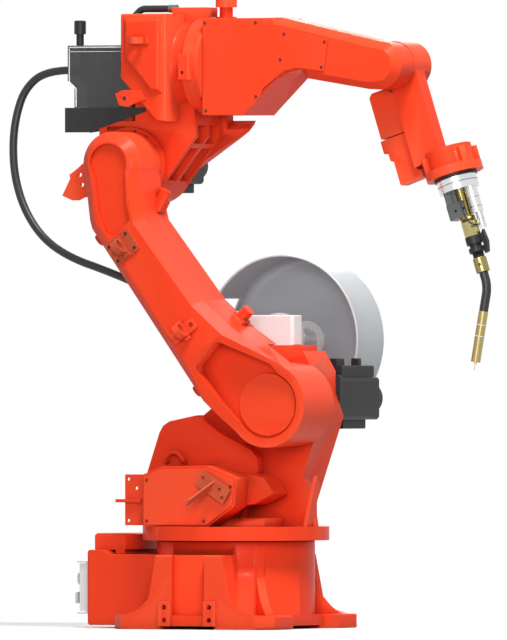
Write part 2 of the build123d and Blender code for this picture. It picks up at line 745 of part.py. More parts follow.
# Elbow casting: hub on the third axis, ribbed neck, gear block, ring of the fourth axis
with BuildPart() as elbow_casting:
    drum(elbow_side(HUB_FAR), (0, 0), HUB_R, HUB_FAR - ARM_J3_FAR - TURN_GAP)
    prism(
        elbow_side(HUB_FAR),
        [
            (SHOULDER_REAR, 0),
            (SHOULDER_REAR, SHOULDER_TOP),
            (BLOCK_REAR, SHOULDER_TOP),
            (BLOCK_REAR, ELBOW_RISE),
            (FLANGE_REACH - 30, ELBOW_RISE),
            (FLANGE_REACH - 22, SHOULDER_TOP + 17),
            (FLANGE_REACH - 18, 62),
            (57, -56),
        ],
        HUB_FAR - WEB_NEAR,
    )
    prism(
        elbow_side(PLATE_FAR),
        [
            (-20, -60),
            (13, -74),
            (72, -12),
            (98, 4),
            (178, 57),
            (199, 72),
            (211, 86),
            (218, 103),
            (218, 140),
            (110, 200),
            (BLOCK_REAR, 200),
            (BLOCK_REAR, SHOULDER_TOP),
            (-60, 60),
        ],
        PLATE_FAR - HUB_FAR,
    )
    for low in (WEB_NEAR + WEB_T, WEB_NEAR + 2 * WEB_T + POCKET_W):
        pocket_plane = elbow_side(low + POCKET_W)
        prism(pocket_plane, [(78, 84), (180, 84), (180, 46), (78, 46)], POCKET_W, mode=Mode.SUBTRACT)
        prism(pocket_plane, [(68, 36), (180, 36), (140, -70), (62, -24)], POCKET_W, mode=Mode.SUBTRACT)
    block(
        (J3_X + BLOCK_REAR, J3_X + BLOCK_FRONT),
        (BLOCK_NEAR, BLOCK_FAR),
        (J3_Z + SHOULDER_TOP, J3_Z + BLOCK_TOP),
    )
    drum(roll_plane(J3_X + BLOCK_FRONT), (0, 0), NECK_RING_R, FLANGE_REACH - RING_T - BLOCK_FRONT)
    drum(roll_plane(FLANGE_X - RING_T), (0, 0), RING_R, RING_T)
    block((J3_X + 76, FLANGE_X - 9), (-25, 25), (J4_Z + RING_R - 14, J4_Z + RING_R + 20))
    drum(roll_plane(FLANGE_X - 6), (0, 0), SWEEP_R, 80, mode=Mode.SUBTRACT)
    drum(roll_plane(FLANGE_X - 6), (0, 0), RING_R, 6)
    block((J3_X + SHOULDER_REAR + 5, J3_X - 8), (-46, 46), (J3_Z + SHOULDER_TOP, J3_Z + TRAY_TOP - SHEET_T))
    with BuildSketch(elbow_side(WEB_NEAR)) as lug:
        with BuildLine():
            Polyline(
                (-60, 4), (-120, 4), (-132, -6), (-151, -19), (-149, -27), (-168, -63),
                (-144, -73), (-130, -73), (-118, -67), (-50, -58),
                close=True,
            )
        make_face()
        with Locations((-126, -19), (-121, -40)):
            Circle(4.5, mode=Mode.SUBTRACT)
    extrude(lug.sketch, amount=-LUG_T)
    with BuildSketch(elbow_side(WEB_NEAR)) as shoulder_slot:
        with Locations((-40, SHOULDER_TOP - 15)):
            RectangleRounded(44, 8, 3)
    extrude(shoulder_slot.sketch, amount=-LUG_T, mode=Mode.SUBTRACT)
save(elbow_casting, "elbow_casting")

# Cover box on the elbow's near side, with a bevelled raised panel
with BuildPart() as elbow_side_cover:
    box_outline = [
        (BLOCK_REAR - 2, BLOCK_TOP),
        (BLOCK_FRONT, BLOCK_TOP),
        (BLOCK_FRONT, SHOULDER_TOP - 1),
        (BLOCK_FRONT - 22, SHOULDER_TOP),
        (BLOCK_REAR - 2, 183),
    ]
    prism(elbow_side(BLOCK_NEAR), box_outline, BLOCK_NEAR - COVER_NEAR)
    prism(elbow_side(BLOCK_NEAR), [(BLOCK_FRONT - 4, 60), (200, 60), (200, 330), (BLOCK_FRONT, 330)], 2, mode=Mode.SUBTRACT)
    block((J3_X - 20, J3_X + 140), (WEB_NEAR - 1, BLOCK_NEAR), (J3_Z + 60, J4_Z), mode=Mode.SUBTRACT)
    with BuildSketch(elbow_side(COVER_NEAR)) as panel:
        with BuildLine():
            Polyline(
                (12, BLOCK_TOP - 8),
                (BLOCK_FRONT - 8, BLOCK_TOP - 8),
                (BLOCK_FRONT - 8, 152),
                (76, 152),
                (12, 224),
                close=True,
            )
        make_face()
    extrude(panel.sketch, amount=PANEL_H, taper=40)
save(elbow_side_cover, "elbow_side_cover")

with BuildPart() as elbow_hose_clip:
    clip_face = elbow_side(COVER_NEAR - PANEL_H)
    hose_clip(clip_face.shift_origin(clip_face.from_local_coords((52, 262, 0))), CLIP_R)
save(elbow_hose_clip, "elbow_hose_clip")

# Clamp tab on the slanted edge of the cover box
with BuildPart() as elbow_clamp:
    clamp_face = elbow_side(COVER_NEAR)
    prism(clamp_face, [(-8, 150), (10, 158), (52, 158), (64, 138), (40, 130), (22, 122), (2, 126)], SHEET_T)
    with BuildSketch(clamp_face) as clamp_hole:
        with Locations((14, 140)):
            Circle(5)
    extrude(clamp_hole.sketch, amount=SHEET_T, mode=Mode.SUBTRACT)
save(elbow_clamp, "elbow_clamp")

# Stop block for the fourth axis, seated on the ring
with BuildPart() as stop_block:
    block((FLANGE_X - 30, FLANGE_X - 6), (-RING_R - 14, -RING_R + 8), (J4_Z - 29, J4_Z + 25))
    drum(roll_plane(FLANGE_X - 40), (0, 0), RING_R, 60, mode=Mode.SUBTRACT)
    with BuildSketch(side(-RING_R - 14)) as stop_hole:
        with Locations((FLANGE_X - 20, J4_Z - 14)):
            Circle(4)
    extrude(stop_hole.sketch, amount=-10, mode=Mode.SUBTRACT)
save(stop_block, "j4_stop_block")

elbow_far = Plane(origin=(J3_X, PLATE_FAR, J3_Z), x_dir=(-1, 0, 0), z_dir=(0, 1, 0))
servo_motor(elbow_far, J3_MOTOR_W, J3_MOTOR_L, "j3_motor")

# Tray behind the elbow that carries the wire feeder
with BuildPart() as feeder_tray:
    tray_z = (J3_Z + TRAY_TOP - SHEET_T, J3_Z + TRAY_TOP)
    block((J3_X + FEEDER_REAR - 4, J3_X - 8), (TRAY_NEAR, TRAY_FAR), tray_z)
    flange_outline = [
        (FEEDER_REAR - 4, TRAY_TOP), (FEEDER_REAR - 4, 70), (FEEDER_REAR + 38, 76), (-86, 95), (-8, 108), (-8, TRAY_TOP)
    ]
    for flange_y in (TRAY_NEAR + SHEET_T, TRAY_FAR):
        prism(elbow_side(flange_y), flange_outline, SHEET_T)
    with BuildSketch(elbow_side(TRAY_NEAR)) as tray_holes:
        with Locations((-123, 84), (-86, 94), (-49, 104)):
            Circle(3.5)
    extrude(tray_holes.sketch, amount=-SHEET_T, mode=Mode.SUBTRACT)
save(feeder_tray, "feeder_tray")

# Wire feeder: drive body, rollers, clear case, pressure knob and hose gland
case_outline = [
    (FEEDER_REAR, TRAY_TOP + FEEDER_H),
    (-8, TRAY_TOP + FEEDER_H),
    (-8, TRAY_TOP),
    (FEEDER_REAR + 16, TRAY_TOP),
    (FEEDER_REAR + 16, TRAY_TOP + 42),
    (FEEDER_REAR, TRAY_TOP + 57),
]
with BuildPart() as feeder_body:
    prism(elbow_side(TRAY_FAR - 4), case_outline, TRAY_FAR - 4 - CASE_BACK)
    chamfer(feeder_body.faces().sort_by(Axis.Y)[-1].edges(), length=6)
save(feeder_body, "feeder_body")

with BuildPart() as feeder_rollers:
    for roller_x, roller_z, roller_r in ((-104, 178, 24), (-52, 178, 24), (-104, 222, 18), (-52, 222, 18)):
        drum(elbow_side(CASE_BACK), (roller_x, roller_z), roller_r, 26)
        drum(elbow_side(CASE_BACK - 26), (roller_x, roller_z), 7, 8)
save(feeder_rollers, "feeder_rollers")

with BuildPart() as feeder_case:
    prism(elbow_side(CASE_BACK), case_outline, CASE_BACK - CASE_NEAR)
    with BuildSketch(elbow_side(CASE_BACK)) as hollow:
        with BuildLine():
            Polyline(*case_outline, close=True)
        make_face()
        offset(amount=-CASE_WALL, kind=Kind.INTERSECTION)
    extrude(hollow.sketch, amount=CASE_BACK - CASE_NEAR - CASE_WALL, mode=Mode.SUBTRACT)
save(feeder_case, "feeder_case")

with BuildPart() as feeder_knob:
    knob_plane = Plane(origin=(J3_X + FEEDER_REAR + 16, (CASE_NEAR + CASE_BACK) / 2, J3_Z + TRAY_TOP + FEEDER_H))
    drum(knob_plane, (0, 0), 8, 24)
    drum(knob_plane.offset(24), (0, 0), 12.5, 29)
    chamfer(feeder_knob.faces().sort_by(Axis.Z)[-1].edges(), length=2)
save(feeder_knob, "feeder_knob")

gland_y = CONDUIT_Y
with BuildPart() as feeder_gland:
    gland_plane = Plane(origin=(J3_X + FEEDER_REAR, gland_y, J3_Z + GLAND_Z), x_dir=(0, 1, 0), z_dir=(-1, 0, 0))
    drum(gland_plane, (0, 0), 13, 10)
    drum(gland_plane.offset(10), (0, 0), CONDUIT_R + 1.5, 14)
save(feeder_gland, "feeder_gland")

# Torch cable from the feeder's top over the gear block, with its collar
with BuildPart() as torch_cable:
    cable_z = J4_Z + RING_R + 18
    cable_end = J3_X + 58
    with BuildLine() as cable_line:
        FilletPolyline(
            (J3_X - 34, 0, J3_Z + TRAY_TOP + FEEDER_H),
            (J3_X - 34, 0, cable_z - 24),
            (J3_X - 8, 0, cable_z),
            (cable_end, 0, cable_z),
            radius=22,
        )
    with BuildSketch(Plane(origin=cable_line.line @ 0, z_dir=cable_line.line % 0)) as cable_round:
        Circle(CABLE_R)
    sweep(cable_round.sketch, path=cable_line.line)
save(torch_cable, "torch_cable")

with BuildPart() as cable_collar:
    collar_plane = Plane(origin=(cable_end, 0, cable_z), x_dir=(0, 1, 0), z_dir=(1, 0, 0))
    drum(collar_plane, (0, 0), CABLE_R + 1, 18)
save(cable_collar, "cable_collar")

# Forearm housing: ring, wide rear part and a bevelled slab out to the fifth axis
slab_outline = [
    (150, 100),
    (183, 101),
    (212, 95),
    (395, 54),
    (408, 51),
    (437, 46),
    (455, 32),
    (466, 11),
    (466, -11),
    (455, -32),
    (437, -46),
    (408, -51),
    (390, -50),
    (247, -27),
    (231, -9),
    (201, -15),
    (150, -50),
]
rear_outline = [(FORE_RING_T, 100), (170, 100), (200, 60), (184, -26), (118, -90), (105, -103), (FORE_RING_T, -103)]
with BuildPart() as forearm_casting:
    drum(roll_plane(FLANGE_X + TURN_GAP), (0, 0), RING_R, FORE_RING_T)
    prism(forearm_side(FORE_FAR), rear_outline, FORE_FAR - FORE_NEAR)
    prism(forearm_side(SLAB_FAR), slab_outline, SLAB_FAR - FORE_NEAR - FORE_BEVEL)
    with BuildSketch(forearm_side(FORE_NEAR + FORE_BEVEL)) as slab_face:
        with BuildLine():
            Polyline(*slab_outline, close=True)
        make_face()
    extrude(slab_face.sketch, amount=FORE_BEVEL, taper=40)
    chamfer(
        forearm_casting.faces().filter_by(Axis.Y).sort_by(Axis.Y)[-1].edges().filter_by(
            lambda edge: edge.center().X > FLANGE_X + 40
        ),
        length=14,
    )
    drum(Plane(origin=(FLANGE_X + POST_R + 2, 0, J4_Z + 96)), (0, 0), POST_NECK_R + 8, 8)
    drum(Plane(origin=(FLANGE_X + POST_R + 2, 0, J4_Z + 104)), (0, 0), POST_NECK_R, 20)
    drum(Plane(origin=(FLANGE_X + POST_R + 2, 0, J4_Z + 124)), (0, 0), POST_R, 17)
save(forearm_casting, "forearm_casting")

near_cover_outline = [
    (FORE_RING_T + 1, 99), (152, 99), (171, 81), (304, 55), (294, -13), (231, -5), (201, -11), (152, -48),
    (145, -67), (105, -103), (FORE_RING_T + 1, -103),
]
with BuildPart() as forearm_near_cover:
    prism(forearm_side(FORE_NEAR), near_cover_outline, COVER_T)
save(forearm_near_cover, "forearm_near_cover")

with BuildPart() as forearm_far_cover:
    far_cover_outline = [(22, 90), (150, 90), (176, 58), (164, -22), (104, -82), (92, -94), (22, -94)]
    prism(forearm_side(FORE_FAR + COVER_T), far_cover_outline, COVER_T)
save(forearm_far_cover, "forearm_far_cover")

# Wrist casting: head on the fifth axis, arm down to the sixth-axis housing and its ring
with BuildPart() as wrist_casting:
    drum(wrist_side(HEAD_FAR), (0, 0), FORE_R5, HEAD_FAR - SLAB_FAR - TURN_GAP)
    prism(wrist_side(WRIST_FAR), [(0, -22), (219, -22), (209, 43), (40, 43), (0, 48)], WRIST_FAR - WRIST_NEAR)
    drum(tool_plane(J6_HOUSING_TOP), (0, 0), J6_HOUSING_R, J6_RING_LOW - J6_HOUSING_TOP)
    drum(tool_plane(J6_RING_LOW - J6_RING_T), (0, 0), J6_RING_R, J6_RING_T)
    for lug_angle in (35, 145, 215, 325):
        with BuildSketch(tool_plane(J6_HOUSING_TOP + 8)) as ring_lug:
            with PolarLocations(J6_RING_R - 12, 1, start_angle=lug_angle):
                Rectangle(22, 14)
        extrude(ring_lug.sketch, amount=J6_RING_LOW - J6_RING_T - J6_HOUSING_TOP - 8)
    chamfer(wrist_casting.faces().sort_by(Axis.Y)[-1].edges(), length=4)
save(wrist_casting, "wrist_casting")

# Covers over the wrist's drives, behind the wrist arm
cover_axis = wrist_side((WRIST_NEAR + WRIST_FAR) / 2)
with BuildPart() as wrist_motor_cover:
    cover_depth = WRIST_FAR - COVER_INSET - WRIST_NEAR
    cover_back = wrist_side(WRIST_FAR)
    prism(cover_back, [(37, -76), (45, -84), (137, -84), (137, -22), (55, -22), (37, -39)], cover_depth)
    prism(wrist_side(WRIST_FAR - 6), [(137, -70), (140, -70), (140, -22), (137, -22)], cover_depth - 12)
    prism(cover_back, [(140, -87), (168, -87), (168, -22), (140, -22)], cover_depth)
    can_outline = [(168, -76), (186, -76), (190, -69), (DRIVE_END, -69), (DRIVE_END - 2, -12), (222, -12), (222, -22), (168, -22)]
    prism(cover_back, can_outline, cover_depth)
    chamfer(wrist_motor_cover.edges().group_by(Axis((0, 0, 0), tuple(cover_axis.x_dir)))[-1], length=3)
save(wrist_motor_cover, "wrist_motor_cover")

# Tool flange on the sixth axis: dark seal ring and a two-layer bright flange
flange_top = J6_RING_LOW + TURN_GAP + FLANGE_RING_T
flange_low = flange_top + FLANGE_T
with BuildPart() as flange_ring:
    drum(tool_plane(J6_RING_LOW + TURN_GAP), (0, 0), FLANGE_R + 3, FLANGE_RING_T)
save(flange_ring, "flange_ring")

with BuildPart() as tool_flange:
    drum(tool_plane(flange_top), (0, 0), FLANGE_R, FLANGE_T)
    with BuildSketch(tool_plane(flange_top + 13)) as flange_seam:
        Circle(FLANGE_R)
        Circle(FLANGE_R - 1.5, mode=Mode.SUBTRACT)
    extrude(flange_seam.sketch, amount=1.5, mode=Mode.SUBTRACT)
    with BuildSketch(tool_plane(flange_low)) as flange_holes:
        with PolarLocations(33, 4, start_angle=45):
            Circle(3.2)
    extrude(flange_holes.sketch, amount=-12, mode=Mode.SUBTRACT)
save(tool_flange, "tool_flange")

# Torch holder: an upright under the flange and a clamp block round the torch body
with BuildPart() as torch_holder:
    with BuildSketch(tool_plane(flange_low)) as upright:
        with Locations(((HOLDER_BACK - 18) / 2, 0)):
            Rectangle(-HOLDER_BACK - 18, 26)
    extrude(upright.sketch, amount=HOLDER_TOP - flange_low)
    with BuildSketch(tool_plane(HOLDER_TOP)) as holder:
        with Locations(((HOLDER_BACK + 6) / 2, 0)):
            Rectangle(6 - HOLDER_BACK, 2 * HOLDER_HALF)
        Circle(TORCH_R, mode=Mode.SUBTRACT)
    extrude(holder.sketch, amount=HOLDER_LOW - HOLDER_TOP)
save(torch_holder, "torch_holder")

# Torch body: tube, round nut and hexagon
with BuildPart() as torch_body:
    drum(tool_plane(flange_low), (0, 0), TORCH_R, HOLDER_LOW - flange_low)
    drum(tool_plane(HOLDER_LOW), (0, 0), NUT_R, NUT_LOW - HOLDER_LOW)
    with BuildSketch(tool_plane(NUT_LOW)) as hexagon:
        RegularPolygon(HEX_R, 6)
    extrude(hexagon.sketch, amount=HEX_LOW - NUT_LOW)
save(torch_body, "torch_body")

# Collision sensor beside the torch body, hung from the flange
with BuildPart() as torch_sensor:
    drum(tool_plane(flange_low), (SENSOR_Q, 0), SENSOR_R, SENSOR_L)
    drum(tool_plane(flange_low + SENSOR_L), (SENSOR_Q + 3, 0), SENSOR_R - 5.5, HEX_LOW - 11 - flange_low - SENSOR_L)
save(torch_sensor, "torch_sensor")

# Quick clamp with its lever
with BuildPart() as torch_clamp:
    drum(tool_plane(HEX_LOW), (0, 0), CLAMP_R, 16)
    drum(tool_plane(HEX_LOW + 16), (0, 0), CLAMP_R - 5, 8)
    drum(tool_plane(HEX_LOW + 24), (0, 0), CLAMP_R - 1, 10)
    drum(tool_plane(HEX_LOW + 34), (0, 0), CLAMP_R - 6, CLAMP_LOW - HEX_LOW - 34)
    lever_plane = wrist_side(J6_Y + 6)
    prism(
        lever_plane,
        [
            (HEX_LOW + 2, J6_OFFSET + 10),
            (HEX_LOW + 1, J6_OFFSET + HEX_R + 2),
            (HEX_LOW - 8, J6_OFFSET + 28),
            (HEX_LOW + 18, J6_OFFSET + 31),
            (HEX_LOW + 40, J6_OFFSET + 26),
            (HEX_LOW + 42, J6_OFFSET + 18),
            (HEX_LOW + 14, J6_OFFSET + 22),
            (HEX_LOW + 10, J6_OFFSET + 10),
        ],
        12,
    )
save(torch_clamp, "torch_clamp")

with BuildPart() as torch_collar:
    drum(tool_plane(CLAMP_LOW), (0, 0), COLLAR_R, COLLAR_LOW - CLAMP_LOW)
    chamfer(torch_collar.edges().filter_by(GeomType.CIRCLE), length=1)
save(torch_collar, "torch_collar")

# Bent torch neck, and the nozzle and wire tip on its end
neck_side = wrist_side(J6_Y)
turn = radians(NECK_TURN)
bend_in = COLLAR_LOW + NECK_LEAD
bend_out = (bend_in + NECK_BEND_R * sin(turn), J6_OFFSET - NECK_BEND_R * (1 - cos(turn)))
neck_end = (bend_out[0] + NECK_TAIL * cos(turn), bend_out[1] - NECK_TAIL * sin(turn))
neck_points = [(COLLAR_LOW, J6_OFFSET), (bend_in, J6_OFFSET), bend_out, neck_end]
neck_world = [neck_side.from_local_coords((point[0], point[1], 0)) for point in neck_points]
with BuildPart() as torch_neck:
    with BuildLine() as neck_line:
        Line(neck_world[0], neck_world[1])
        TangentArc(neck_world[1], neck_world[2], tangent=neck_world[1] - neck_world[0])
        Line(neck_world[2], neck_world[3])
    with BuildSketch(tool_plane(COLLAR_LOW)) as neck_round:
        Circle(NECK_R)
    sweep(neck_round.sketch, path=neck_line.line)
save(torch_neck, "torch_neck")

nozzle_way = (neck_world[3] - neck_world[2]).normalized()
nozzle_plane = Plane(origin=neck_world[3], x_dir=(0, 1, 0), z_dir=nozzle_way)
with BuildPart() as torch_nozzle:
    drum(nozzle_plane, (0, 0), NOZZLE_R, NOZZLE_L)
    for groove in (28, 52):
        with BuildSketch(nozzle_plane.offset(groove)) as ring_groove:
            Circle(NOZZLE_R)
            Circle(NOZZLE_R - 0.8, mode=Mode.SUBTRACT)
        extrude(ring_groove.sketch, amount=2, mode=Mode.SUBTRACT)
    drum(nozzle_plane.offset(NOZZLE_L - NOZZLE_BORE), (0, 0), NOZZLE_R - 3, NOZZLE_BORE, mode=Mode.SUBTRACT)
save(torch_nozzle, "torch_nozzle")

with BuildPart() as torch_tip:
    drum(nozzle_plane.offset(NOZZLE_L - NOZZLE_BORE), (0, 0), TIP_R, NOZZLE_BORE + 4)
    drum(nozzle_plane.offset(NOZZLE_L + 4), (0, 0), WIRE_R, WIRE_L)
save(torch_tip, "torch_tip")

# Wire conduit: from the feeder down to a clip on the arm's far face, then on to the spool cover
CONDUIT_WAY = Vector(0.926, 0, -0.378).normalized()
clip_centre = Vector(CLIP_X, ARM_FAR + CONDUIT_R + CONDUIT_GRIP + SHEET_T, CLIP_Z)
with BuildPart() as conduit_clip:
    clip_foot = Plane(
        origin=(clip_centre.X, ARM_FAR, clip_centre.Z),
        x_dir=(-CONDUIT_WAY.Z, 0, CONDUIT_WAY.X),
        z_dir=(0, 1, 0),
    )
    hose_clip(clip_foot, CONDUIT_R + CONDUIT_GRIP)
save(conduit_clip, "conduit_clip")


def conduit(points, name):
    """Round hose of straight runs joined by tangent arcs as large as the runs allow."""
    runs = [Vector(*end) - Vector(*start) for start, end in zip(points, points[1:])]
    radii = []
    for before, after in zip(runs, runs[1:]):
        half_turn = radians(before.get_angle(after)) / 2
        radii.append(0.45 * min(before.length, after.length) / tan(half_turn))
    with BuildPart() as hose:
        with BuildLine() as route:
            FilletPolyline(*points, radius=radii)
        with BuildSketch(Plane(origin=route.line @ 0, z_dir=route.line % 0)) as hose_round:
            Circle(CONDUIT_R)
        sweep(hose_round.sketch, path=route.line)
    print(name, "length", round(sum(edge.length for edge in route.edges()), 1))
    print(name, "bend radii", [round(radius) for radius in radii])
    save(hose, name)


gland_x = J3_X + FEEDER_REAR - 24
gland_z = J3_Z + GLAND_Z
upper_end = clip_centre - CONDUIT_WAY * 0.5
conduit(
    [
        (gland_x, CONDUIT_Y, gland_z),
        (gland_x - 60, CONDUIT_Y, gland_z),
        (gland_x - 110, CONDUIT_Y - 2, gland_z - 38),
        (gland_x - 129, CONDUIT_Y - 8, gland_z - 98),
        (gland_x - 132, CONDUIT_Y - 16, gland_z - 163),
        (gland_x - 122, CONDUIT_Y - 23, gland_z - 233),
        (upper_end.X - 360, upper_end.Y + 31, upper_end.Z + 182),
        (upper_end.X - 312, upper_end.Y + 24, upper_end.Z + 125),
        (upper_end.X - 244, upper_end.Y + 16, upper_end.Z + 87),
        (upper_end.X - 162, upper_end.Y + 9, upper_end.Z + 62),
        (upper_end.X - 77, upper_end.Y + 5, upper_end.Z + 31.4),
        tuple(upper_end),
    ],
    "conduit_upper",
)

adapter_x = SPOOL_X - sqrt((SPOOL_R - SPOOL_WALL / 2) ** 2 - ADAPTER_RISE**2)
adapter_y = SPOOL_NEAR + OUTLET_DEPTH
adapter_z = SPOOL_Z + ADAPTER_RISE
with BuildPart() as conduit_adapter:
    adapter_plane = Plane(origin=(adapter_x, adapter_y, adapter_z), x_dir=(1, 0, 0), z_dir=(0, -1, 0))
    drum(adapter_plane, (0, 0), 14, 20)
    drum(adapter_plane.offset(20), (0, 0), CONDUIT_R + 2, 12)
save(conduit_adapter, "conduit_adapter")

lower_start = clip_centre + CONDUIT_WAY * 0.5
conduit(
    [
        tuple(lower_start),
        tuple(lower_start + CONDUIT_WAY * 54),
        (lower_start.X + 84, lower_start.Y + 32, lower_start.Z - 24),
        (lower_start.X + 88, lower_start.Y + 84, lower_start.Z - 15),
        (lower_start.X + 30, lower_start.Y + 152, lower_start.Z - 9),
        (lower_start.X - 32, lower_start.Y + 214, lower_start.Z - 13),
        (adapter_x + 12, adapter_y - 168, adapter_z + 11),
        (adapter_x, adapter_y - 96, adapter_z),
        (adapter_x, adapter_y - 32, adapter_z),
    ],
    "conduit_lower",
)
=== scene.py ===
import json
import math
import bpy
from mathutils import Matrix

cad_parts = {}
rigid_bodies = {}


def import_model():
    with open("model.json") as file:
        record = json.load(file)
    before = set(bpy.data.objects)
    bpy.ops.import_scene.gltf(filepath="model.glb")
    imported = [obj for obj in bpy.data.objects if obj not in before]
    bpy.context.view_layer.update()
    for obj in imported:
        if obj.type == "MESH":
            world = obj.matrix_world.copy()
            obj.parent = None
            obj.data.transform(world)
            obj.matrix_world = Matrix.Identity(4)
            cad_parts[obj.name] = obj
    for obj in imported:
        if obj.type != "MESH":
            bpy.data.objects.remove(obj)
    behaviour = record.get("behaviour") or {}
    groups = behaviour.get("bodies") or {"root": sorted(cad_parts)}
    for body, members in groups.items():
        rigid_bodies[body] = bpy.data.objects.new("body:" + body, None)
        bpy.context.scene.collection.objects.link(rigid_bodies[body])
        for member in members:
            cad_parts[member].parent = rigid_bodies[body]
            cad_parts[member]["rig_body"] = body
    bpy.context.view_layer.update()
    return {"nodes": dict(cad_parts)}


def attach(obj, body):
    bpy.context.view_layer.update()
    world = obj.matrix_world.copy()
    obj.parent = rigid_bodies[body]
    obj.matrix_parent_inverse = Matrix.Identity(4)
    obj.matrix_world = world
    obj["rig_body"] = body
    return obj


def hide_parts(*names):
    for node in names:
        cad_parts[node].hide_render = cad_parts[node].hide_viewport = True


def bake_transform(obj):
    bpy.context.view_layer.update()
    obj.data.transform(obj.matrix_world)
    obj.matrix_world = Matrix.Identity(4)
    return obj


bl_info = {
    "name": "Arc welding robot arm",
    "version": (1, 0, 0),
    "blender": (4, 5, 0),
    "location": "View3D > Sidebar > Robot arm",
    "description": "Dresses the packed robot arm with paint, screws, hoses, wire drive and torch",
    "category": "Object",
}

import bmesh
import bpy
from mathutils import Vector
from mathutils.bvhtree import BVHTree

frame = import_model()
NODES = frame["nodes"]

MM = 0.001

# Layout of the arm at rest, in millimetres, as in the solid model
UPPER_ARM = 620.0
ELBOW_RISE = 208.0
FLANGE_REACH = 167.0
FOREARM_REACH = 583.0
WRIST_FORWARD = 58.0
WRIST_FAR = 20.0
J2 = Vector((150.0, 0.0, 470.0))
LEAN = math.radians(36.0)
ARM_WAY = Vector((-math.sin(LEAN), 0.0, math.cos(LEAN)))
ARM_REAR = Vector((-math.cos(LEAN), 0.0, -math.sin(LEAN)))
J3 = J2 + UPPER_ARM * ARM_WAY
J4_Z = J3.z + ELBOW_RISE
FLANGE_X = J3.x + FLANGE_REACH
J5 = Vector((J3.x + FOREARM_REACH, 0.0, J4_Z))
TILT = math.radians(18.0)
TOOL_WAY = Vector((math.sin(TILT), 0.0, -math.cos(TILT)))
TOOL_FRONT = Vector((math.cos(TILT), 0.0, math.sin(TILT)))
J6 = J5 + WRIST_FORWARD * TOOL_FRONT + Vector((0.0, WRIST_FAR, 0.0))
NEAR = Vector((0.0, -1.0, 0.0))
UP = Vector((0.0, 0.0, 1.0))


class RobotSizes(bpy.types.PropertyGroup):
    """Sizes of the dressing."""

    cast_edge: bpy.props.FloatProperty(
        name="Casting edge", description="Rounding on the edges of castings",
        default=0.0042, unit="LENGTH", min=0.0005,
    )
    sheet_edge: bpy.props.FloatProperty(
        name="Sheet edge", description="Rounding on the edges of covers and brackets",
        default=0.0009, unit="LENGTH", min=0.0002,
    )
    turned_edge: bpy.props.FloatProperty(
        name="Turned edge", description="Rounding on turned and moulded pieces",
        default=0.0011, unit="LENGTH", min=0.0002,
    )
    hose_radius: bpy.props.FloatProperty(
        name="Hose radius", description="Half the thickness of the wire conduit",
        default=0.0085, unit="LENGTH", min=0.002,
    )
    camera_distance: bpy.props.FloatProperty(
        name="Camera distance", description="Distance of the long-lens camera", default=44.8, unit="LENGTH", min=5.0
    )


class RobotFinishes(bpy.types.PropertyGroup):
    """Colours of the finishes."""

    paint: bpy.props.FloatVectorProperty(
        name="Paint", description="Gloss paint on castings and covers",
        subtype="COLOR", size=3, default=(0.93, 0.06, 0.018),
    )
    black: bpy.props.FloatVectorProperty(
        name="Black", description="Paint of the motors",
        subtype="COLOR", size=3, default=(0.02, 0.0204, 0.0215),
    )
    cover: bpy.props.FloatVectorProperty(
        name="Spool cover", description="Moulded wire-spool cover",
        subtype="COLOR", size=3, default=(0.46, 0.5, 0.53),
    )
    brass: bpy.props.FloatVectorProperty(
        name="Brass", description="Turned torch pieces",
        subtype="COLOR", size=3, default=(0.25, 0.205, 0.066),
    )


def sizes():
    """Sizes that the panel shows."""
    return bpy.context.scene.robot_sizes


def finishes():
    """Colours that the panel shows."""
    return bpy.context.scene.robot_finishes


# Shader node groups shared by the materials


def new_group(name, inputs, outputs):
    tree = bpy.data.node_groups.new(name, "ShaderNodeTree")
    for label, kind, default in inputs:
        socket = tree.interface.new_socket(name=label, in_out="INPUT", socket_type=kind)
        socket.default_value = default
    for label, kind in outputs:
        tree.interface.new_socket(name=label, in_out="OUTPUT", socket_type=kind)
    return tree, tree.nodes.new("NodeGroupInput"), tree.nodes.new("NodeGroupOutput")


def math_node(tree, operation, first, second):
    node = tree.nodes.new("ShaderNodeMath")
    node.operation = operation
    for socket, value in zip(node.inputs, (first, second)):
        if isinstance(value, (int, float)):
            socket.default_value = value
        else:
            tree.links.new(value, socket)
    return node.outputs[0]


def mix_colour(tree, factor, first, second, blend="MIX"):
    node = tree.nodes.new("ShaderNodeMix")
    node.data_type = "RGBA"
    node.blend_type = blend
    for socket, value in zip((node.inputs[0], node.inputs[6], node.inputs[7]), (factor, first, second)):
        if isinstance(value, (int, float, tuple)):
            socket.default_value = value
        else:
            tree.links.new(value, socket)
    return node.outputs[2]


def noise(tree, coords, scale, detail=3.0, roughness=0.5):
    node = tree.nodes.new("ShaderNodeTexNoise")
    node.inputs["Detail"].default_value = detail
    node.inputs["Roughness"].default_value = roughness
    tree.links.new(coords, node.inputs["Vector"])
    if isinstance(scale, (int, float)):
        node.inputs["Scale"].default_value = scale
    else:
        tree.links.new(scale, node.inputs["Scale"])
    return node.outputs[0]


def ramp(tree, value, low, high):
    node = tree.nodes.new("ShaderNodeMapRange")
    node.clamp = True
    tree.links.new(value, node.inputs[0])
    node.inputs[1].default_value = low
    node.inputs[2].default_value = high
    return node.outputs[0]


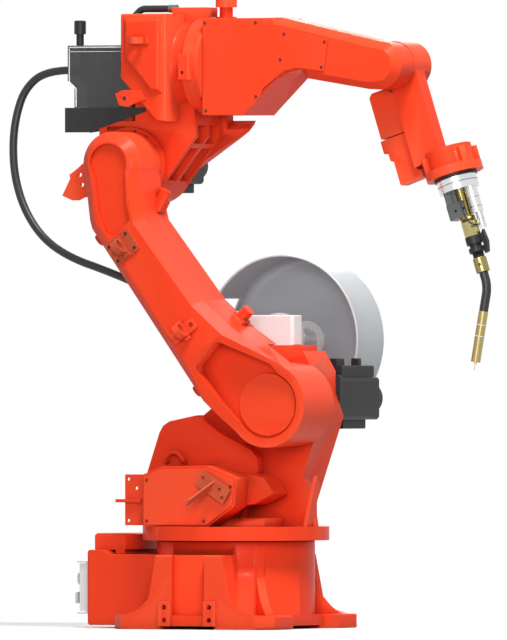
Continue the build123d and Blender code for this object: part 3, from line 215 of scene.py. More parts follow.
def surface_group():
    """Cloudy tone, fine grain, a painted highlight on edges and painted shade in creases for paint, mouldings and
    metal.
    """
    tree, given, out = new_group(
        "Surface tone",
        [
            ("Colour", "NodeSocketColor", (0.8, 0.8, 0.8, 1.0)),
            ("Edge highlight colour", "NodeSocketColor", (1.0, 1.0, 1.0, 1.0)),
            ("Edge", "NodeSocketFloat", 0.2),
            ("Cloud scale", "NodeSocketFloat", 6.0),
            ("Cloud", "NodeSocketFloat", 0.1),
            ("Grain scale", "NodeSocketFloat", 400.0),
            ("Base roughness", "NodeSocketFloat", 0.3),
            ("Roughness spread", "NodeSocketFloat", 0.1),
            ("Crevice shade", "NodeSocketFloat", 0.0),
        ],
        [("Colour", "NodeSocketColor"), ("Roughness", "NodeSocketFloat"), ("Height", "NodeSocketFloat")],
    )
    coords = tree.nodes.new("ShaderNodeTexCoord").outputs["Object"]
    cloud = noise(tree, coords, given.outputs["Cloud scale"], 5.0, 0.6)
    grain = noise(tree, coords, given.outputs["Grain scale"], 2.0)
    geometry = tree.nodes.new("ShaderNodeNewGeometry")
    # Painted highlight: edges found by pointiness are lightened towards the edge highlight colour.
    edge = ramp(tree, geometry.outputs["Pointiness"], 0.52, 0.62)
    edge = math_node(tree, "MULTIPLY", edge, given.outputs["Edge"])
    dark = mix_colour(tree, 1.0, given.outputs["Colour"], (0.72, 0.66, 0.66, 1.0), "MULTIPLY")
    cloudy = math_node(tree, "MULTIPLY", ramp(tree, cloud, 0.35, 0.75), given.outputs["Cloud"])
    toned = mix_colour(tree, cloudy, given.outputs["Colour"], dark)
    # Painted shade: creases that ambient occlusion finds are darkened towards a bluish grey.
    crevice_occlusion = tree.nodes.new("ShaderNodeAmbientOcclusion")
    crevice_occlusion.samples = 8
    crevice_occlusion.inputs["Distance"].default_value = 0.035
    crevice_shade = math_node(tree, "SUBTRACT", 1.0, ramp(tree, crevice_occlusion.outputs["AO"], 0.25, 0.85))
    crevice_shade = math_node(tree, "MULTIPLY", crevice_shade, given.outputs["Crevice shade"])
    shaded = mix_colour(tree, 1.0, toned, (0.3, 0.34, 0.4, 1.0), "MULTIPLY")
    toned = mix_colour(tree, crevice_shade, toned, shaded)
    tree.links.new(mix_colour(tree, edge, toned, given.outputs["Edge highlight colour"]), out.inputs["Colour"])
    spread = math_node(tree, "MULTIPLY", cloud, given.outputs["Roughness spread"])
    tree.links.new(math_node(tree, "ADD", spread, given.outputs["Base roughness"]), out.inputs["Roughness"])
    tree.links.new(grain, out.inputs["Height"])
    return tree


def lines_group():
    """Fine lathe or brush lines along one axis of the object."""
    tree, given, out = new_group(
        "Turning lines",
        [("Scale", "NodeSocketFloat", 300.0), ("Along", "NodeSocketVector", (1.0, 1.0, 1.0))],
        [("Height", "NodeSocketFloat")],
    )
    coords = tree.nodes.new("ShaderNodeTexCoord").outputs["Object"]
    stretch = tree.nodes.new("ShaderNodeVectorMath")
    stretch.operation = "MULTIPLY"
    tree.links.new(coords, stretch.inputs[0])
    tree.links.new(given.outputs["Along"], stretch.inputs[1])
    tree.links.new(noise(tree, stretch.outputs[0], given.outputs["Scale"], 2.0), out.inputs["Height"])
    return tree


GROUPS = {}


def group(name):
    if name not in GROUPS:
        GROUPS[name] = {"tone": surface_group, "lines": lines_group}[name]()
    return GROUPS[name]


def finish_material(
    name,
    colour,
    edge_highlight_colour=None,
    edge=0.15,
    cloud_scale=6.0,
    cloud=0.12,
    grain_scale=420.0,
    roughness=0.32,
    spread=0.1,
    bump=0.05,
    metallic=0.0,
    coat=0.0,
    transmission=0.0,
    specular=0.5,
    crevice_shade=0.0,
    lines=None,
):
    """Material on a Principled shader, with its tone, painted edge highlight, painted crease shade, roughness and
    grain from the groups.
    """
    material = bpy.data.materials.new(name)
    material.use_nodes = True
    tree = material.node_tree
    shader = tree.nodes["Principled BSDF"]
    tone = tree.nodes.new("ShaderNodeGroup")
    tone.node_tree = group("tone")
    colour = tuple(colour)
    tone.inputs["Colour"].default_value = colour + (1.0,)
    # Painted highlight on edges: unless one is given, a lighter copy of the colour.
    lighter_highlight = tuple(min(1.0, c * 1.25 + 0.05) for c in colour)
    tone.inputs["Edge highlight colour"].default_value = (tuple(edge_highlight_colour) if edge_highlight_colour else lighter_highlight) + (1.0,)
    for label, value in (
        ("Edge", edge),
        ("Cloud scale", cloud_scale),
        ("Cloud", cloud),
        ("Grain scale", grain_scale),
        ("Base roughness", roughness),
        ("Roughness spread", spread),
        ("Crevice shade", crevice_shade),
    ):
        tone.inputs[label].default_value = value
    tree.links.new(tone.outputs["Colour"], shader.inputs["Base Color"])
    tree.links.new(tone.outputs["Roughness"], shader.inputs["Roughness"])
    relief = tree.nodes.new("ShaderNodeBump")
    relief.inputs["Strength"].default_value = bump
    relief.inputs["Distance"].default_value = 0.001
    height = tone.outputs["Height"]
    if lines:
        turned = tree.nodes.new("ShaderNodeGroup")
        turned.node_tree = group("lines")
        turned.inputs["Scale"].default_value = lines[0]
        turned.inputs["Along"].default_value = lines[1]
        height = turned.outputs["Height"]
    tree.links.new(height, relief.inputs["Height"])
    tree.links.new(relief.outputs["Normal"], shader.inputs["Normal"])
    shader.inputs["Metallic"].default_value = metallic
    shader.inputs["Specular IOR Level"].default_value = specular
    shader.inputs["Coat Weight"].default_value = coat
    shader.inputs["Coat Roughness"].default_value = 0.06
    shader.inputs["Transmission Weight"].default_value = transmission
    return material


MATERIALS = {}


def material(name):
    """Material by the name of its finish, made once."""
    if name not in MATERIALS:
        colours = finishes()
        black = tuple(colours.black)
        # Edge and its colour paint a highlight on the edges of each finish.
        recipes = {
            # The gloss paint carries painted shade in its creases.
            "gloss paint": dict(
                colour=colours.paint, edge=0.3, edge_highlight_colour=(1.0, 0.2, 0.09), cloud=0.1, roughness=0.34, spread=0.1,
                bump=0.03, coat=0.03, specular=0.07, crevice_shade=0.72, grain_scale=260.0,
            ),
            # A darker brown copy of the gloss paint, a little rougher, for the turret's side bracket and the arm's
            # upper clip.
            "darker bracket paint": dict(
                colour=(0.44, 0.052, 0.022), edge=0.35, edge_highlight_colour=(0.95, 0.22, 0.1), cloud=0.12, roughness=0.4,
                spread=0.1, bump=0.03, specular=0.14, grain_scale=260.0,
            ),
            "motor black": dict(
                colour=black, edge=0.25, roughness=0.42, spread=0.16, bump=0.16, specular=0.2, grain_scale=700.0
            ),
            "moulded black": dict(
                colour=(0.009, 0.009, 0.0094), edge=0.2, roughness=0.38, spread=0.14, bump=0.1, specular=0.3,
                grain_scale=900.0,
            ),
            "black sheet": dict(
                colour=(0.0135, 0.0138, 0.0142), edge=0.2, roughness=0.4, spread=0.12, bump=0.08, specular=0.3,
                grain_scale=800.0,
            ),
            "hose rubber": dict(
                colour=(0.012, 0.012, 0.013), edge=0.1, roughness=0.34, spread=0.16, bump=0.06, grain_scale=500.0
            ),
            "cover moulding": dict(
                colour=colours.cover, edge=0.4, edge_highlight_colour=(0.92, 0.93, 0.94), cloud=0.08, roughness=0.3,
                spread=0.08, bump=0.02, coat=0.2,
            ),
            "white paint": dict(
                colour=(0.84, 0.84, 0.83), edge=0.2, cloud=0.08, roughness=0.3, spread=0.08, bump=0.03, coat=0.2
            ),
            "panel white": dict(colour=(0.8, 0.8, 0.79), edge=0.25, cloud=0.1, roughness=0.4, spread=0.1, bump=0.06),
            "milky plastic": dict(
                colour=(0.95, 0.96, 0.97), edge=0.2, cloud=0.06, roughness=0.24, spread=0.06, bump=0.02,
                transmission=0.2, coat=0.3,
            ),
            "bright steel": dict(
                colour=(0.66, 0.665, 0.675), edge=0.4, cloud=0.16, roughness=0.18, spread=0.12, bump=0.03,
                metallic=1.0, lines=(500.0, (0.2, 0.2, 6.0)),
            ),
            "screw steel": dict(
                colour=(0.045, 0.02, 0.016), edge=0.3, cloud=0.2, roughness=0.36, spread=0.14, bump=0.05, metallic=0.5
            ),
            "machined grey": dict(
                colour=(0.13, 0.135, 0.135), edge=0.35, cloud=0.12, roughness=0.34, spread=0.14, bump=0.06,
                metallic=0.5,
            ),
            "roller steel": dict(
                colour=(0.16, 0.165, 0.17), edge=0.3, cloud=0.2, roughness=0.45, spread=0.16, bump=0.06, metallic=0.6
            ),
            "turned brass": dict(
                colour=colours.brass, edge=0.35, edge_highlight_colour=(0.95, 0.8, 0.42), cloud=0.25, roughness=0.2,
                spread=0.18, bump=0.0, metallic=1.0,
            ),
            "copper tip": dict(
                colour=(0.72, 0.36, 0.2), edge=0.3, roughness=0.28, spread=0.12, bump=0.05, metallic=1.0
            ),
            "smoked case": dict(
                colour=(0.115, 0.12, 0.125), edge=0.2, edge_highlight_colour=(0.5, 0.52, 0.54), cloud=0.1, roughness=0.07,
                spread=0.05, bump=0.01, transmission=0.9, coat=0.2,
            ),
        }
        MATERIALS[name] = finish_material(name.replace(" ", "_"), **recipes[name])
    return MATERIALS[name]


# Mesh helpers


def new_object(name, mesh, finish, body):
    """Object of a mesh with its finish, riding on a body if one is given."""
    piece = bpy.data.objects.new(name, mesh)
    bpy.context.scene.collection.objects.link(piece)
    mesh.materials.clear()
    mesh.materials.append(material(finish))
    if body:
        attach(piece, body)
    return piece


def shade(mesh, angle=34.0):
    """Smooth shading that keeps edges sharper than the angle."""
    for face in mesh.polygons:
        face.use_smooth = True
    mesh.set_sharp_from_angle(angle=math.radians(angle))


def sharp_edges(work, width, angle, left_sharp):
    """Edges of a mesh that have room for a rounding, away from the spots where one failed."""
    room = {}
    for vert in work.verts:
        room[vert] = min((edge.calc_length() for edge in vert.link_edges), default=0.0)
    limit = math.radians(angle)
    chosen = []
    for edge in work.edges:
        if len(edge.link_faces) != 2 or edge.calc_face_angle(0.0) < limit:
            continue
        if min(room[vert] for vert in edge.verts) < 2.1 * width:
            continue
        if any((vert.co - spot).length < 2.4 * width for vert in edge.verts for spot in left_sharp):
            continue
        chosen.append(edge)
    return chosen


SLIVER_AREA = 2e-8
WELD = 2e-5
ROUNDING_TRIES = 8


def faulty_spots(work, surface, width):
    """Corners of the drawn triangles that leave the solid's surface or turn against it."""
    drawn = work.copy()
    bmesh.ops.triangulate(drawn, faces=drawn.faces, quad_method="FIXED", ngon_method="EAR_CLIP")
    spots = []
    for face in drawn.faces:
        if face.calc_area() < SLIVER_AREA:
            continue
        _, normal, _, distance = surface.find_nearest(face.calc_center_median())
        if distance > 0.8 * width or face.normal.dot(normal) < 0.1:
            spots.extend(vert.co.copy() for vert in face.verts)
    drawn.free()
    return spots


def rounded_mesh(name, source, width, angle, segments):
    """Copy of a mesh with its sharp edges rounded wherever that leaves a sound surface."""
    plain = bmesh.new()
    plain.from_mesh(source)
    bmesh.ops.remove_doubles(plain, verts=plain.verts, dist=WELD)
    surface = BVHTree.FromBMesh(plain)
    bmesh.ops.dissolve_limit(
        plain, angle_limit=math.radians(0.5), use_dissolve_boundaries=False, verts=plain.verts, edges=plain.edges
    )
    left_sharp = []
    for attempt in range(ROUNDING_TRIES):
        work = plain.copy()
        edges = sharp_edges(work, width, angle, left_sharp)
        if edges:
            bmesh.ops.bevel(
                work, geom=edges, offset=width, offset_type="OFFSET", segments=segments, profile=0.6, affect="EDGES",
                clamp_overlap=True,
            )
        faults = faulty_spots(work, surface, width)
        if not faults or not edges:
            break
        left_sharp.extend(faults)
        if attempt < ROUNDING_TRIES - 1:
            work.free()
    if faults:
        work.free()
        work = bmesh.new()
        work.from_mesh(source)
    mesh = bpy.data.meshes.new(name)
    work.to_mesh(mesh)
    work.free()
    plain.free()
    return mesh


def softened(node, width, finish, angle=28.0, segments=3):
    """A copy of a solid with its sharp edges rounded, standing for that solid."""
    source = NODES[node]
    mesh = rounded_mesh(node + "_dressed", source.data, width, angle, segments)
    shade(mesh)
    piece = new_object(node + "_dressed", mesh, finish, source["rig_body"])
    even = piece.modifiers.new("Even normals", "WEIGHTED_NORMAL")
    even.keep_sharp = True
    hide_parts(node)
    return piece


def basis(normal):
    """Two directions across a normal, and the normal itself."""
    normal = Vector(normal).normalized()
    along = UP if abs(normal.z) < 0.9 else Vector((1.0, 0.0, 0.0))
    first = (along - along.dot(normal) * normal).normalized()
    return first, normal.cross(first), normal


def turned(work, centre, normal, profile, segments=28):
    """Add a revolved profile of (radius, height) pairs, in millimetres, to a mesh; it closes at both ends."""
    first, second, normal = basis(normal)
    centre = Vector(centre)
    rings = []
    for radius, height in profile:
        ring = []
        for step in range(segments):
            turn = 2.0 * math.pi * step / segments
            reach = radius(turn) if callable(radius) else radius
            spot = centre + height * normal + reach * (math.cos(turn) * first + math.sin(turn) * second)
            ring.append(work.verts.new(spot * MM))
        rings.append(ring)
    for low, high in zip(rings, rings[1:]):
        for step in range(segments):
            after = (step + 1) % segments
            work.faces.new((low[step], low[after], high[after], high[step]))
    work.faces.new(tuple(reversed(rings[0])))
    work.faces.new(tuple(rings[-1]))


def hexagon(flat):
    """Radius of a hexagon, by its angle, from its half width across flats."""
    return lambda turn: flat / math.cos((turn % (math.pi / 3.0)) - math.pi / 6.0)


def screw(work, centre, normal, radius, height):
    """Socket screw with a rounded head and a hexagon recess."""
    socket = hexagon(radius * 0.5)
    turned(
        work,
        centre,
        normal,
        [
            (radius, -0.6),
            (radius, height * 0.75),
            (radius * 0.93, height * 0.93),
            (radius * 0.82, height),
            (radius * 0.66, height),
            (socket, height * 0.98),
            (socket, height * 0.35),
            (radius * 0.12, height * 0.3),
        ],
        24,
    )


def countersunk(work, centre, normal, radius):
    """Flat screw set just proud of a cover, with its recess."""
    socket = hexagon(radius * 0.45)
    turned(
        work,
        centre,
        normal,
        [
            (radius, -0.4),
            (radius, 0.5),
            (radius * 0.9, 0.9),
            (radius * 0.62, 0.9),
            (socket, 0.85),
            (socket, -0.1),
            (0.2, -0.2),
        ],
        24,
    )


def plate(work, front, back):
    """Add a flat plate between two outlines of as many points, in millimetres."""
    sides = [[work.verts.new(spot * MM) for spot in outline] for outline in (front, back)]
    work.faces.new(sides[0])
    work.faces.new(tuple(reversed(sides[1])))
    for step in range(len(front)):
        after = (step + 1) % len(front)
        work.faces.new((sides[0][step], sides[1][step], sides[1][after], sides[0][after]))


def finished(name, work, finish, body, angle=34.0):
    """Turn a work mesh into a piece that rides on a body."""
    bmesh.ops.recalc_face_normals(work, faces=work.faces)
    mesh = bpy.data.meshes.new(name)
    work.to_mesh(mesh)
    work.free()
    shade(mesh, angle)
    return new_object(name, mesh, finish, body)


def route_points(name, points):
    """Points along a smooth line through a route, in metres."""
    curve = bpy.data.curves.new(name + "_route", "CURVE")
    curve.dimensions = "3D"
    curve.resolution_u = 14
    spline = curve.splines.new("NURBS")
    spline.points.add(len(points) - 1)
    for point, spot in zip(spline.points, points):
        point.co = tuple(c * MM for c in spot) + (1.0,)
    spline.order_u = 3
    spline.use_endpoint_u = True
    holder = bpy.data.objects.new(name + "_route", curve)
    bpy.context.scene.collection.objects.link(holder)
    bpy.context.view_layer.update()
    line = bpy.data.meshes.new_from_object(holder.evaluated_get(bpy.context.evaluated_depsgraph_get()))
    spots = [vert.co.copy() for vert in line.vertices]
    bpy.data.objects.remove(holder)
    bpy.data.meshes.remove(line)
    return spots


def tube(name, spots, radius, finish, body=None, segments=20):
    """Round tube along points in metres; a tube given no body rides on none."""
    work = bmesh.new()
    rings = []
    across = None
    for index, spot in enumerate(spots):
        before = spots[max(index - 1, 0)]
        after = spots[min(index + 1, len(spots) - 1)]
        way = (after - before).normalized()
        if across is None:
            across = way.orthogonal().normalized()
        across = (across - across.dot(way) * way).normalized()
        side = way.cross(across)
        ring = []
        for step in range(segments):
            turn = 2.0 * math.pi * step / segments
            ring.append(work.verts.new(spot + radius * (math.cos(turn) * across + math.sin(turn) * side)))
        rings.append(ring)
    for low, high in zip(rings, rings[1:]):
        for step in range(segments):
            after = (step + 1) % segments
            work.faces.new((low[step], low[after], high[after], high[step]))
    work.faces.new(tuple(reversed(rings[0])))
    work.faces.new(tuple(rings[-1]))
    return finished(name, work, finish, body)


# Pieces


class ROBOT_OT_castings(bpy.types.Operator):
    """Round and paint the castings, covers and brackets"""

    bl_idname = "robot.castings"
    bl_label = "Castings and covers"

    def execute(self, context):
        cast = sizes().cast_edge
        sheet = sizes().sheet_edge
        for node in (
            "base_casting",
            "turret_casting",
            "upper_arm_casting",
            "elbow_casting",
            "forearm_casting",
            "wrist_casting",
            "wrist_motor_cover",
            "elbow_side_cover",
        ):
            softened(node, cast, "gloss paint")
        for node in ("base_rear_box", "base_rear_hood", "j4_stop_block"):
            softened(node, 0.5 * cast, "gloss paint")
        for node in (
            "turret_side_cover",
            "turret_rear_plate",
            "arm_cap",
            "arm_lower_clip",
            "elbow_hose_clip",
            "elbow_clamp",
            "conduit_clip",
            "forearm_near_cover",
            "forearm_far_cover",
        ):
            softened(node, sheet, "gloss paint")
        for node in ("turret_side_bracket", "arm_upper_clip"):
            softened(node, sheet, "darker bracket paint")
        return {"FINISHED"}


class ROBOT_OT_motors(bpy.types.Operator):
    """Dress the servo motors and the connector panel"""

    bl_idname = "robot.motors"
    bl_label = "Motors and connectors"

    def execute(self, context):
        for node in ("j2_motor", "j3_motor"):
            softened(node, 0.0016, "motor black")
        softened("base_connector_panel", 0.0012, "panel white")
        return {"FINISHED"}


SPOOL = Vector((-44.0, 300.0, 605.0))
RIM_RADIUS = 178.0
RIM_STEPS = 96
RIM_ARC = (-155.0, 149.0)


class ROBOT_OT_spool(bpy.types.Operator):
    """Dress the wire spool's cover, spindle and bracket, and add the cover's rim as a white tube that paints its
    highlight
    """

    bl_idname = "robot.spool"
    bl_label = "Wire spool"

    def execute(self, context):
        softened("spool_cover", 0.0012, "cover moulding")
        softened("spool_spindle", 0.0016, "milky plastic")
        softened("spool_bracket", 0.0022, "white paint")
        softened("conduit_adapter", 0.0009, "moulded black")
        # The cover's rim, in milky white that paints the bright highlight along the cover's edge.
        rim = []
        for step in range(RIM_STEPS + 1):
            turn = math.radians(RIM_ARC[0] + (RIM_ARC[1] - RIM_ARC[0]) * step / RIM_STEPS)
            rim.append(MM * (SPOOL + RIM_RADIUS * Vector((math.cos(turn), 0.0, math.sin(turn)))))
        tube("spool_cover_rim_highlight", rim, 0.0024, "milky plastic", "turret")
        return {"FINISHED"}


def elbow_spot(x, z, y):
    """Place on the elbow, from the third axis in X and Z and at a Y, in millimetres."""
    return Vector((J3.x + x, y, J3.z + z))


CASE_RIM = ((-137.0, 124.0), (-137.0, 162.0), (-153.0, 177.0), (-153.0, 249.0), (-10.0, 249.0))
CASE_RIM_Y = -52.6
CASE_LIP = ((-151.0, 240.0), (-10.0, 240.0))
CASE_LIP_Y = -52.1
TRAY_SKIRT = ((-161.0, 122.0), (-161.0, 70.0), (-104.0, 70.0), (30.0, 113.0), (30.0, 122.0))
SKIRT_NEAR = -57.0
SKIRT_FAR = -55.9
TRAY_SCREWS = ((-126.0, 84.7), (-88.0, 93.7), (-47.0, 102.8), (-9.0, 111.5))


class ROBOT_OT_feeder(bpy.types.Operator):
    """Dress the wire feeder, its tray and cable, and add the case's rim and lip as white tubes that paint its edge
    highlights, and the tray's skirt
    """

    bl_idname = "robot.feeder"
    bl_label = "Wire feeder"

    def execute(self, context):
        softened("feeder_tray", sizes().sheet_edge, "black sheet")
        softened("feeder_body", 0.002, "moulded black")
        softened("feeder_rollers", 0.001, "roller steel")
        softened("feeder_case", 0.0008, "smoked case")
        softened("feeder_knob", 0.0012, "moulded black")
        softened("feeder_gland", 0.0009, "moulded black")
        softened("torch_cable", 0.0008, "hose rubber")
        softened("cable_collar", 0.0009, "machined grey")
        # The case's rim and lip: milky white tubes that paint the bright highlights along the clear case's edges.
        rim = [MM * elbow_spot(x, z, CASE_RIM_Y) for x, z in CASE_RIM]
        tube("feeder_case_rim_highlight", rim, 0.0014, "milky plastic", "elbow")
        lip = [MM * elbow_spot(x, z, CASE_LIP_Y) for x, z in CASE_LIP]
        tube("feeder_case_lip_highlight", lip, 0.0006, "milky plastic", "elbow")
        work = bmesh.new()
        plate(work, *([elbow_spot(x, z, y) for x, z in TRAY_SKIRT] for y in (SKIRT_NEAR, SKIRT_FAR)))
        finished("feeder_tray_skirt", work, "black sheet", "elbow")
        work = bmesh.new()
        for x, z in TRAY_SCREWS:
            countersunk(work, elbow_spot(x, z, SKIRT_NEAR), NEAR, 3.2)
        finished("feeder_tray_screws", work, "screw steel", "elbow")
        return {"FINISHED"}


class ROBOT_OT_torch(bpy.types.Operator):
    """Dress the tool flange and the torch"""

    bl_idname = "robot.torch"
    bl_label = "Torch"

    def execute(self, context):
        edge = sizes().turned_edge
        softened("flange_ring", edge, "moulded black")
        softened("tool_flange", edge, "bright steel")
        softened("torch_holder", edge, "machined grey")
        softened("torch_body", 0.7 * edge, "turned brass")
        softened("torch_sensor", edge, "bright steel")
        softened("torch_clamp", edge, "moulded black")
        softened("torch_collar", 0.6 * edge, "turned brass")
        softened("torch_neck", 0.6 * edge, "hose rubber")
        softened("torch_nozzle", 0.5 * edge, "turned brass")
        softened("torch_tip", 0.0002, "copper tip")
        return {"FINISHED"}


CLIP_WAY = Vector((0.926, 0.0, -0.378)).normalized()
CLIP_SPOT = Vector((-128.0, -49.0, 690.0))
GLAND = Vector((J3.x - 181.0, 12.0, J3.z + 202.0))
UPPER_END = CLIP_SPOT - 0.5 * CLIP_WAY
LOWER_START = CLIP_SPOT + 0.5 * CLIP_WAY
ADAPTER = Vector((-44.0 - math.sqrt(178.0**2 - 50.0**2), 408.0, 655.0))
UPPER_ROUTE = [GLAND + Vector(step) for step in (
    (0.0, 0.0, 0.0), (-60.0, 0.0, 0.0), (-110.0, -2.0, -38.0), (-129.0, -8.0, -98.0), (-132.0, -16.0, -163.0),
    (-122.0, -23.0, -233.0),
)] + [UPPER_END + Vector(step) for step in (
    (-360.0, 31.0, 182.0), (-312.0, 24.0, 125.0), (-244.0, 16.0, 87.0), (-162.0, 9.0, 62.0), (-77.0, 5.0, 31.4),
    (0.0, 0.0, 0.0),
)]
LOWER_ROUTE = [LOWER_START, LOWER_START + 54.0 * CLIP_WAY] + [LOWER_START + Vector(step) for step in (
    (84.0, 32.0, -24.0), (88.0, 84.0, -15.0), (30.0, 152.0, -9.0), (-32.0, 214.0, -13.0),
)] + [ADAPTER + Vector(step) for step in ((12.0, -168.0, 11.0), (0.0, -96.0, 0.0), (0.0, -32.0, 0.0))]


class ROBOT_OT_conduit(bpy.types.Operator):
    """Lay the wire conduit from the feeder by the arm's clip to the spool cover"""

    bl_idname = "robot.conduit"
    bl_label = "Wire conduit"

    def execute(self, context):
        radius = sizes().hose_radius
        for name, node, route, start_body, end_body in (
            ("conduit_hose_upper", "conduit_upper", UPPER_ROUTE, "elbow", "upper_arm"),
            ("conduit_hose_lower", "conduit_lower", LOWER_ROUTE, "upper_arm", "turret"),
        ):
            spots = route_points(name, route)
            hose = tube(name, spots, radius, "hose rubber")
            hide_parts(node)
            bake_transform(hose)
        return {"FINISHED"}


DISC_TOP = 213.8
FOREARM_COVER_Y = 82.0
TURRET_COVER_Y = -165.0
COVER_SCREW_R = 3.4


class ROBOT_OT_screws(bpy.types.Operator):
    """Set the screws of the forearm's and the turret's covers"""

    bl_idname = "robot.screws"
    bl_label = "Screws"

    def execute(self, context):
        work = bmesh.new()
        for x, z in (
            (15.6, 90.1), (135.0, 90.1), (201.8, 65.6), (297.0, 48.8), (289.5, -4.2), (193.3, 12.6), (136.0, -64.8),
            (18.0, -94.0),
        ):
            countersunk(work, (FLANGE_X + x, -FOREARM_COVER_Y, J4_Z + z), NEAR, COVER_SCREW_R)
        for x, z in ((30, 82), (144, 82), (166, 50), (154, -20), (98, -78), (30, -86)):
            countersunk(work, (FLANGE_X + x, FOREARM_COVER_Y, J4_Z + z), -NEAR, COVER_SCREW_R)
        finished("forearm_cover_screws", work, "screw steel", "forearm")
        work = bmesh.new()
        for x, z in ((-276.0, 98.0), (-276.0, 12.0), (-142.0, 12.0), (-79.0, 84.4)):
            countersunk(work, (J2.x + x, TURRET_COVER_Y, DISC_TOP + z), NEAR, COVER_SCREW_R)
        finished("turret_cover_screws", work, "screw steel", "turret")
        return {"FINISHED"}


def arm_spot(along, across, y):
    """Place on the upper arm: along it from the second axis, across it and at a Y, in millimetres."""
    spot = J2 + along * ARM_WAY + across * ARM_REAR
    return Vector((spot.x, y, spot.z))


def tool_spot(along, forward, y=0.0):
    """Place at the tool: along the sixth axis, forwards of it and beside it, in millimetres."""
    return J6 + along * TOOL_WAY + forward * TOOL_FRONT + Vector((0.0, y, 0.0))


NOZZLE_TURN = math.radians(28.0)
NOZZLE_WAY = math.cos(NOZZLE_TURN) * TOOL_WAY - math.sin(NOZZLE_TURN) * TOOL_FRONT
NOZZLE_START = tool_spot(551.2, 33.3 - WRIST_FORWARD)
HUB_SCREW_CIRCLE = 73.5
HUB_FACE_Y = -75.6
CLIP_MIDDLE = (455.0, 66.0)
CLIP_FACE_Y = -192.0
NECK_START = 107.0
FIN_START = 178.0
FIN_SLOPE = 0.235
FIN_T = 8.0
FIN_OUTLINE = ((-40.0, 212.0), (-14.0, 212.0), (-14.0, 298.0), (-36.0, 319.0), (-40.0, 316.0))


def fin_outline(forward):
    """Outline of the turret's leaning fin, moved forward, in millimetres."""
    return [Vector((FIN_START + forward + FIN_SLOPE * (z - DISC_TOP), y, z)) for y, z in FIN_OUTLINE]


class ROBOT_OT_details(bpy.types.Operator):
    """Add the torch's lead, rings, bands and screws, hub and clip screws, elbow neck, lifting eye and turret fin"""

    bl_idname = "robot.details"
    bl_label = "Small details"

    def execute(self, context):
        lead = [
            tool_spot(294.0, 3.0, -22.0), tool_spot(304.0, 4.0, -23.0), tool_spot(322.0, 4.0, -24.0),
            tool_spot(344.0, 5.0, -24.0), tool_spot(362.0, 8.0, -23.0), tool_spot(372.0, 14.0, -21.0),
            tool_spot(376.0, 20.0, -14.0), tool_spot(376.0, 22.0, -6.0),
        ]
        tube("torch_lead", route_points("torch_lead", lead), 0.0017, "hose rubber", "tool")
        work = bmesh.new()
        for along in (28.0, 52.0):
            ring = [(9.0, 0.1), (10.1, 0.2), (10.1, 1.8), (9.0, 1.9)]
            turned(work, NOZZLE_START + along * NOZZLE_WAY, NOZZLE_WAY, ring)
        finished("nozzle_rings", work, "white paint", "tool")
        work = bmesh.new()
        turned(work, tool_spot(279.5, 0.0), TOOL_WAY, [(42.0, 0.0), (43.15, 0.1), (43.15, 1.2), (42.0, 1.3)], 56)
        for along, forward, radius in ((318.0, 26.0, 13.0), (338.0, 26.0, 13.0), (366.0, 29.0, 7.5)):
            turned(
                work, tool_spot(along, forward), TOOL_WAY,
                [(radius - 0.6, 0.0), (radius + 0.15, 0.1), (radius + 0.15, 0.9), (radius - 0.6, 1.0)], 32,
            )
        for forward in (-14.0, 6.0):
            screw(work, tool_spot(335.0, forward, -17.0), NEAR, 2.6, 2.2)
        screw(work, tool_spot(458.0, 3.0, -14.0), NEAR, 3.0, 0.9)
        finished("torch_bands", work, "moulded black", "tool")
        work = bmesh.new()
        for angle in (78.0, 56.0, 34.0, 12.0, -10.0, -32.0):
            place = math.radians(angle)
            x, z = HUB_SCREW_CIRCLE * math.cos(place), HUB_SCREW_CIRCLE * math.sin(place)
            screw(work, elbow_spot(x, z, HUB_FACE_Y), NEAR, 2.6, 1.6)
        finished("hub_screws", work, "screw steel", "elbow")
        work = bmesh.new()
        for along, across in ((-18.0, -24.0), (18.0, -24.0), (-18.0, 24.0), (18.0, 24.0)):
            screw(work, arm_spot(CLIP_MIDDLE[0] + along, CLIP_MIDDLE[1] + across, CLIP_FACE_Y), NEAR, 3.2, 2.4)
        finished("arm_clip_screws", work, "screw steel", "upper_arm")
        work = bmesh.new()
        turned(
            work, (J3.x + NECK_START, 0.0, J4_Z), (1.0, 0.0, 0.0),
            [(100.0, 0.0), (97.0, 4.0), (95.0, 12.0), (95.0, 22.0), (97.0, 29.0), (100.0, 33.0)], 72,
        )
        finished("elbow_neck_fillet", work, "gloss paint", "elbow")
        eye = [
            Vector(spot) for spot in (
                (-138.0, -42.0, 347.0), (-138.0, -55.0, 348.0), (-136.0, -59.0, 358.0), (-128.0, -59.0, 367.0),
                (-117.0, -59.0, 370.0), (-106.0, -59.0, 367.0), (-98.0, -59.0, 358.0), (-96.0, -55.0, 348.0),
                (-96.0, -42.0, 347.0),
            )
        ]
        ring = route_points("lifting_eye", eye)
        tube("lifting_eye", ring, 0.0045, "gloss paint", "turret")
        work = bmesh.new()
        plate(work, fin_outline(0.0), fin_outline(FIN_T))
        finished("turret_fin", work, "gloss paint", "turret")
        return {"FINISHED"}


def seen_rays(tree):
    """Mask of the rays that show the backdrop: straight from the camera, off gloss and through glass."""
    path = tree.nodes.new("ShaderNodeLightPath")
    seen = math_node(tree, "MAXIMUM", path.outputs["Is Camera Ray"], path.outputs["Is Transmission Ray"])
    return math_node(tree, "MAXIMUM", seen, path.outputs["Is Glossy Ray"])


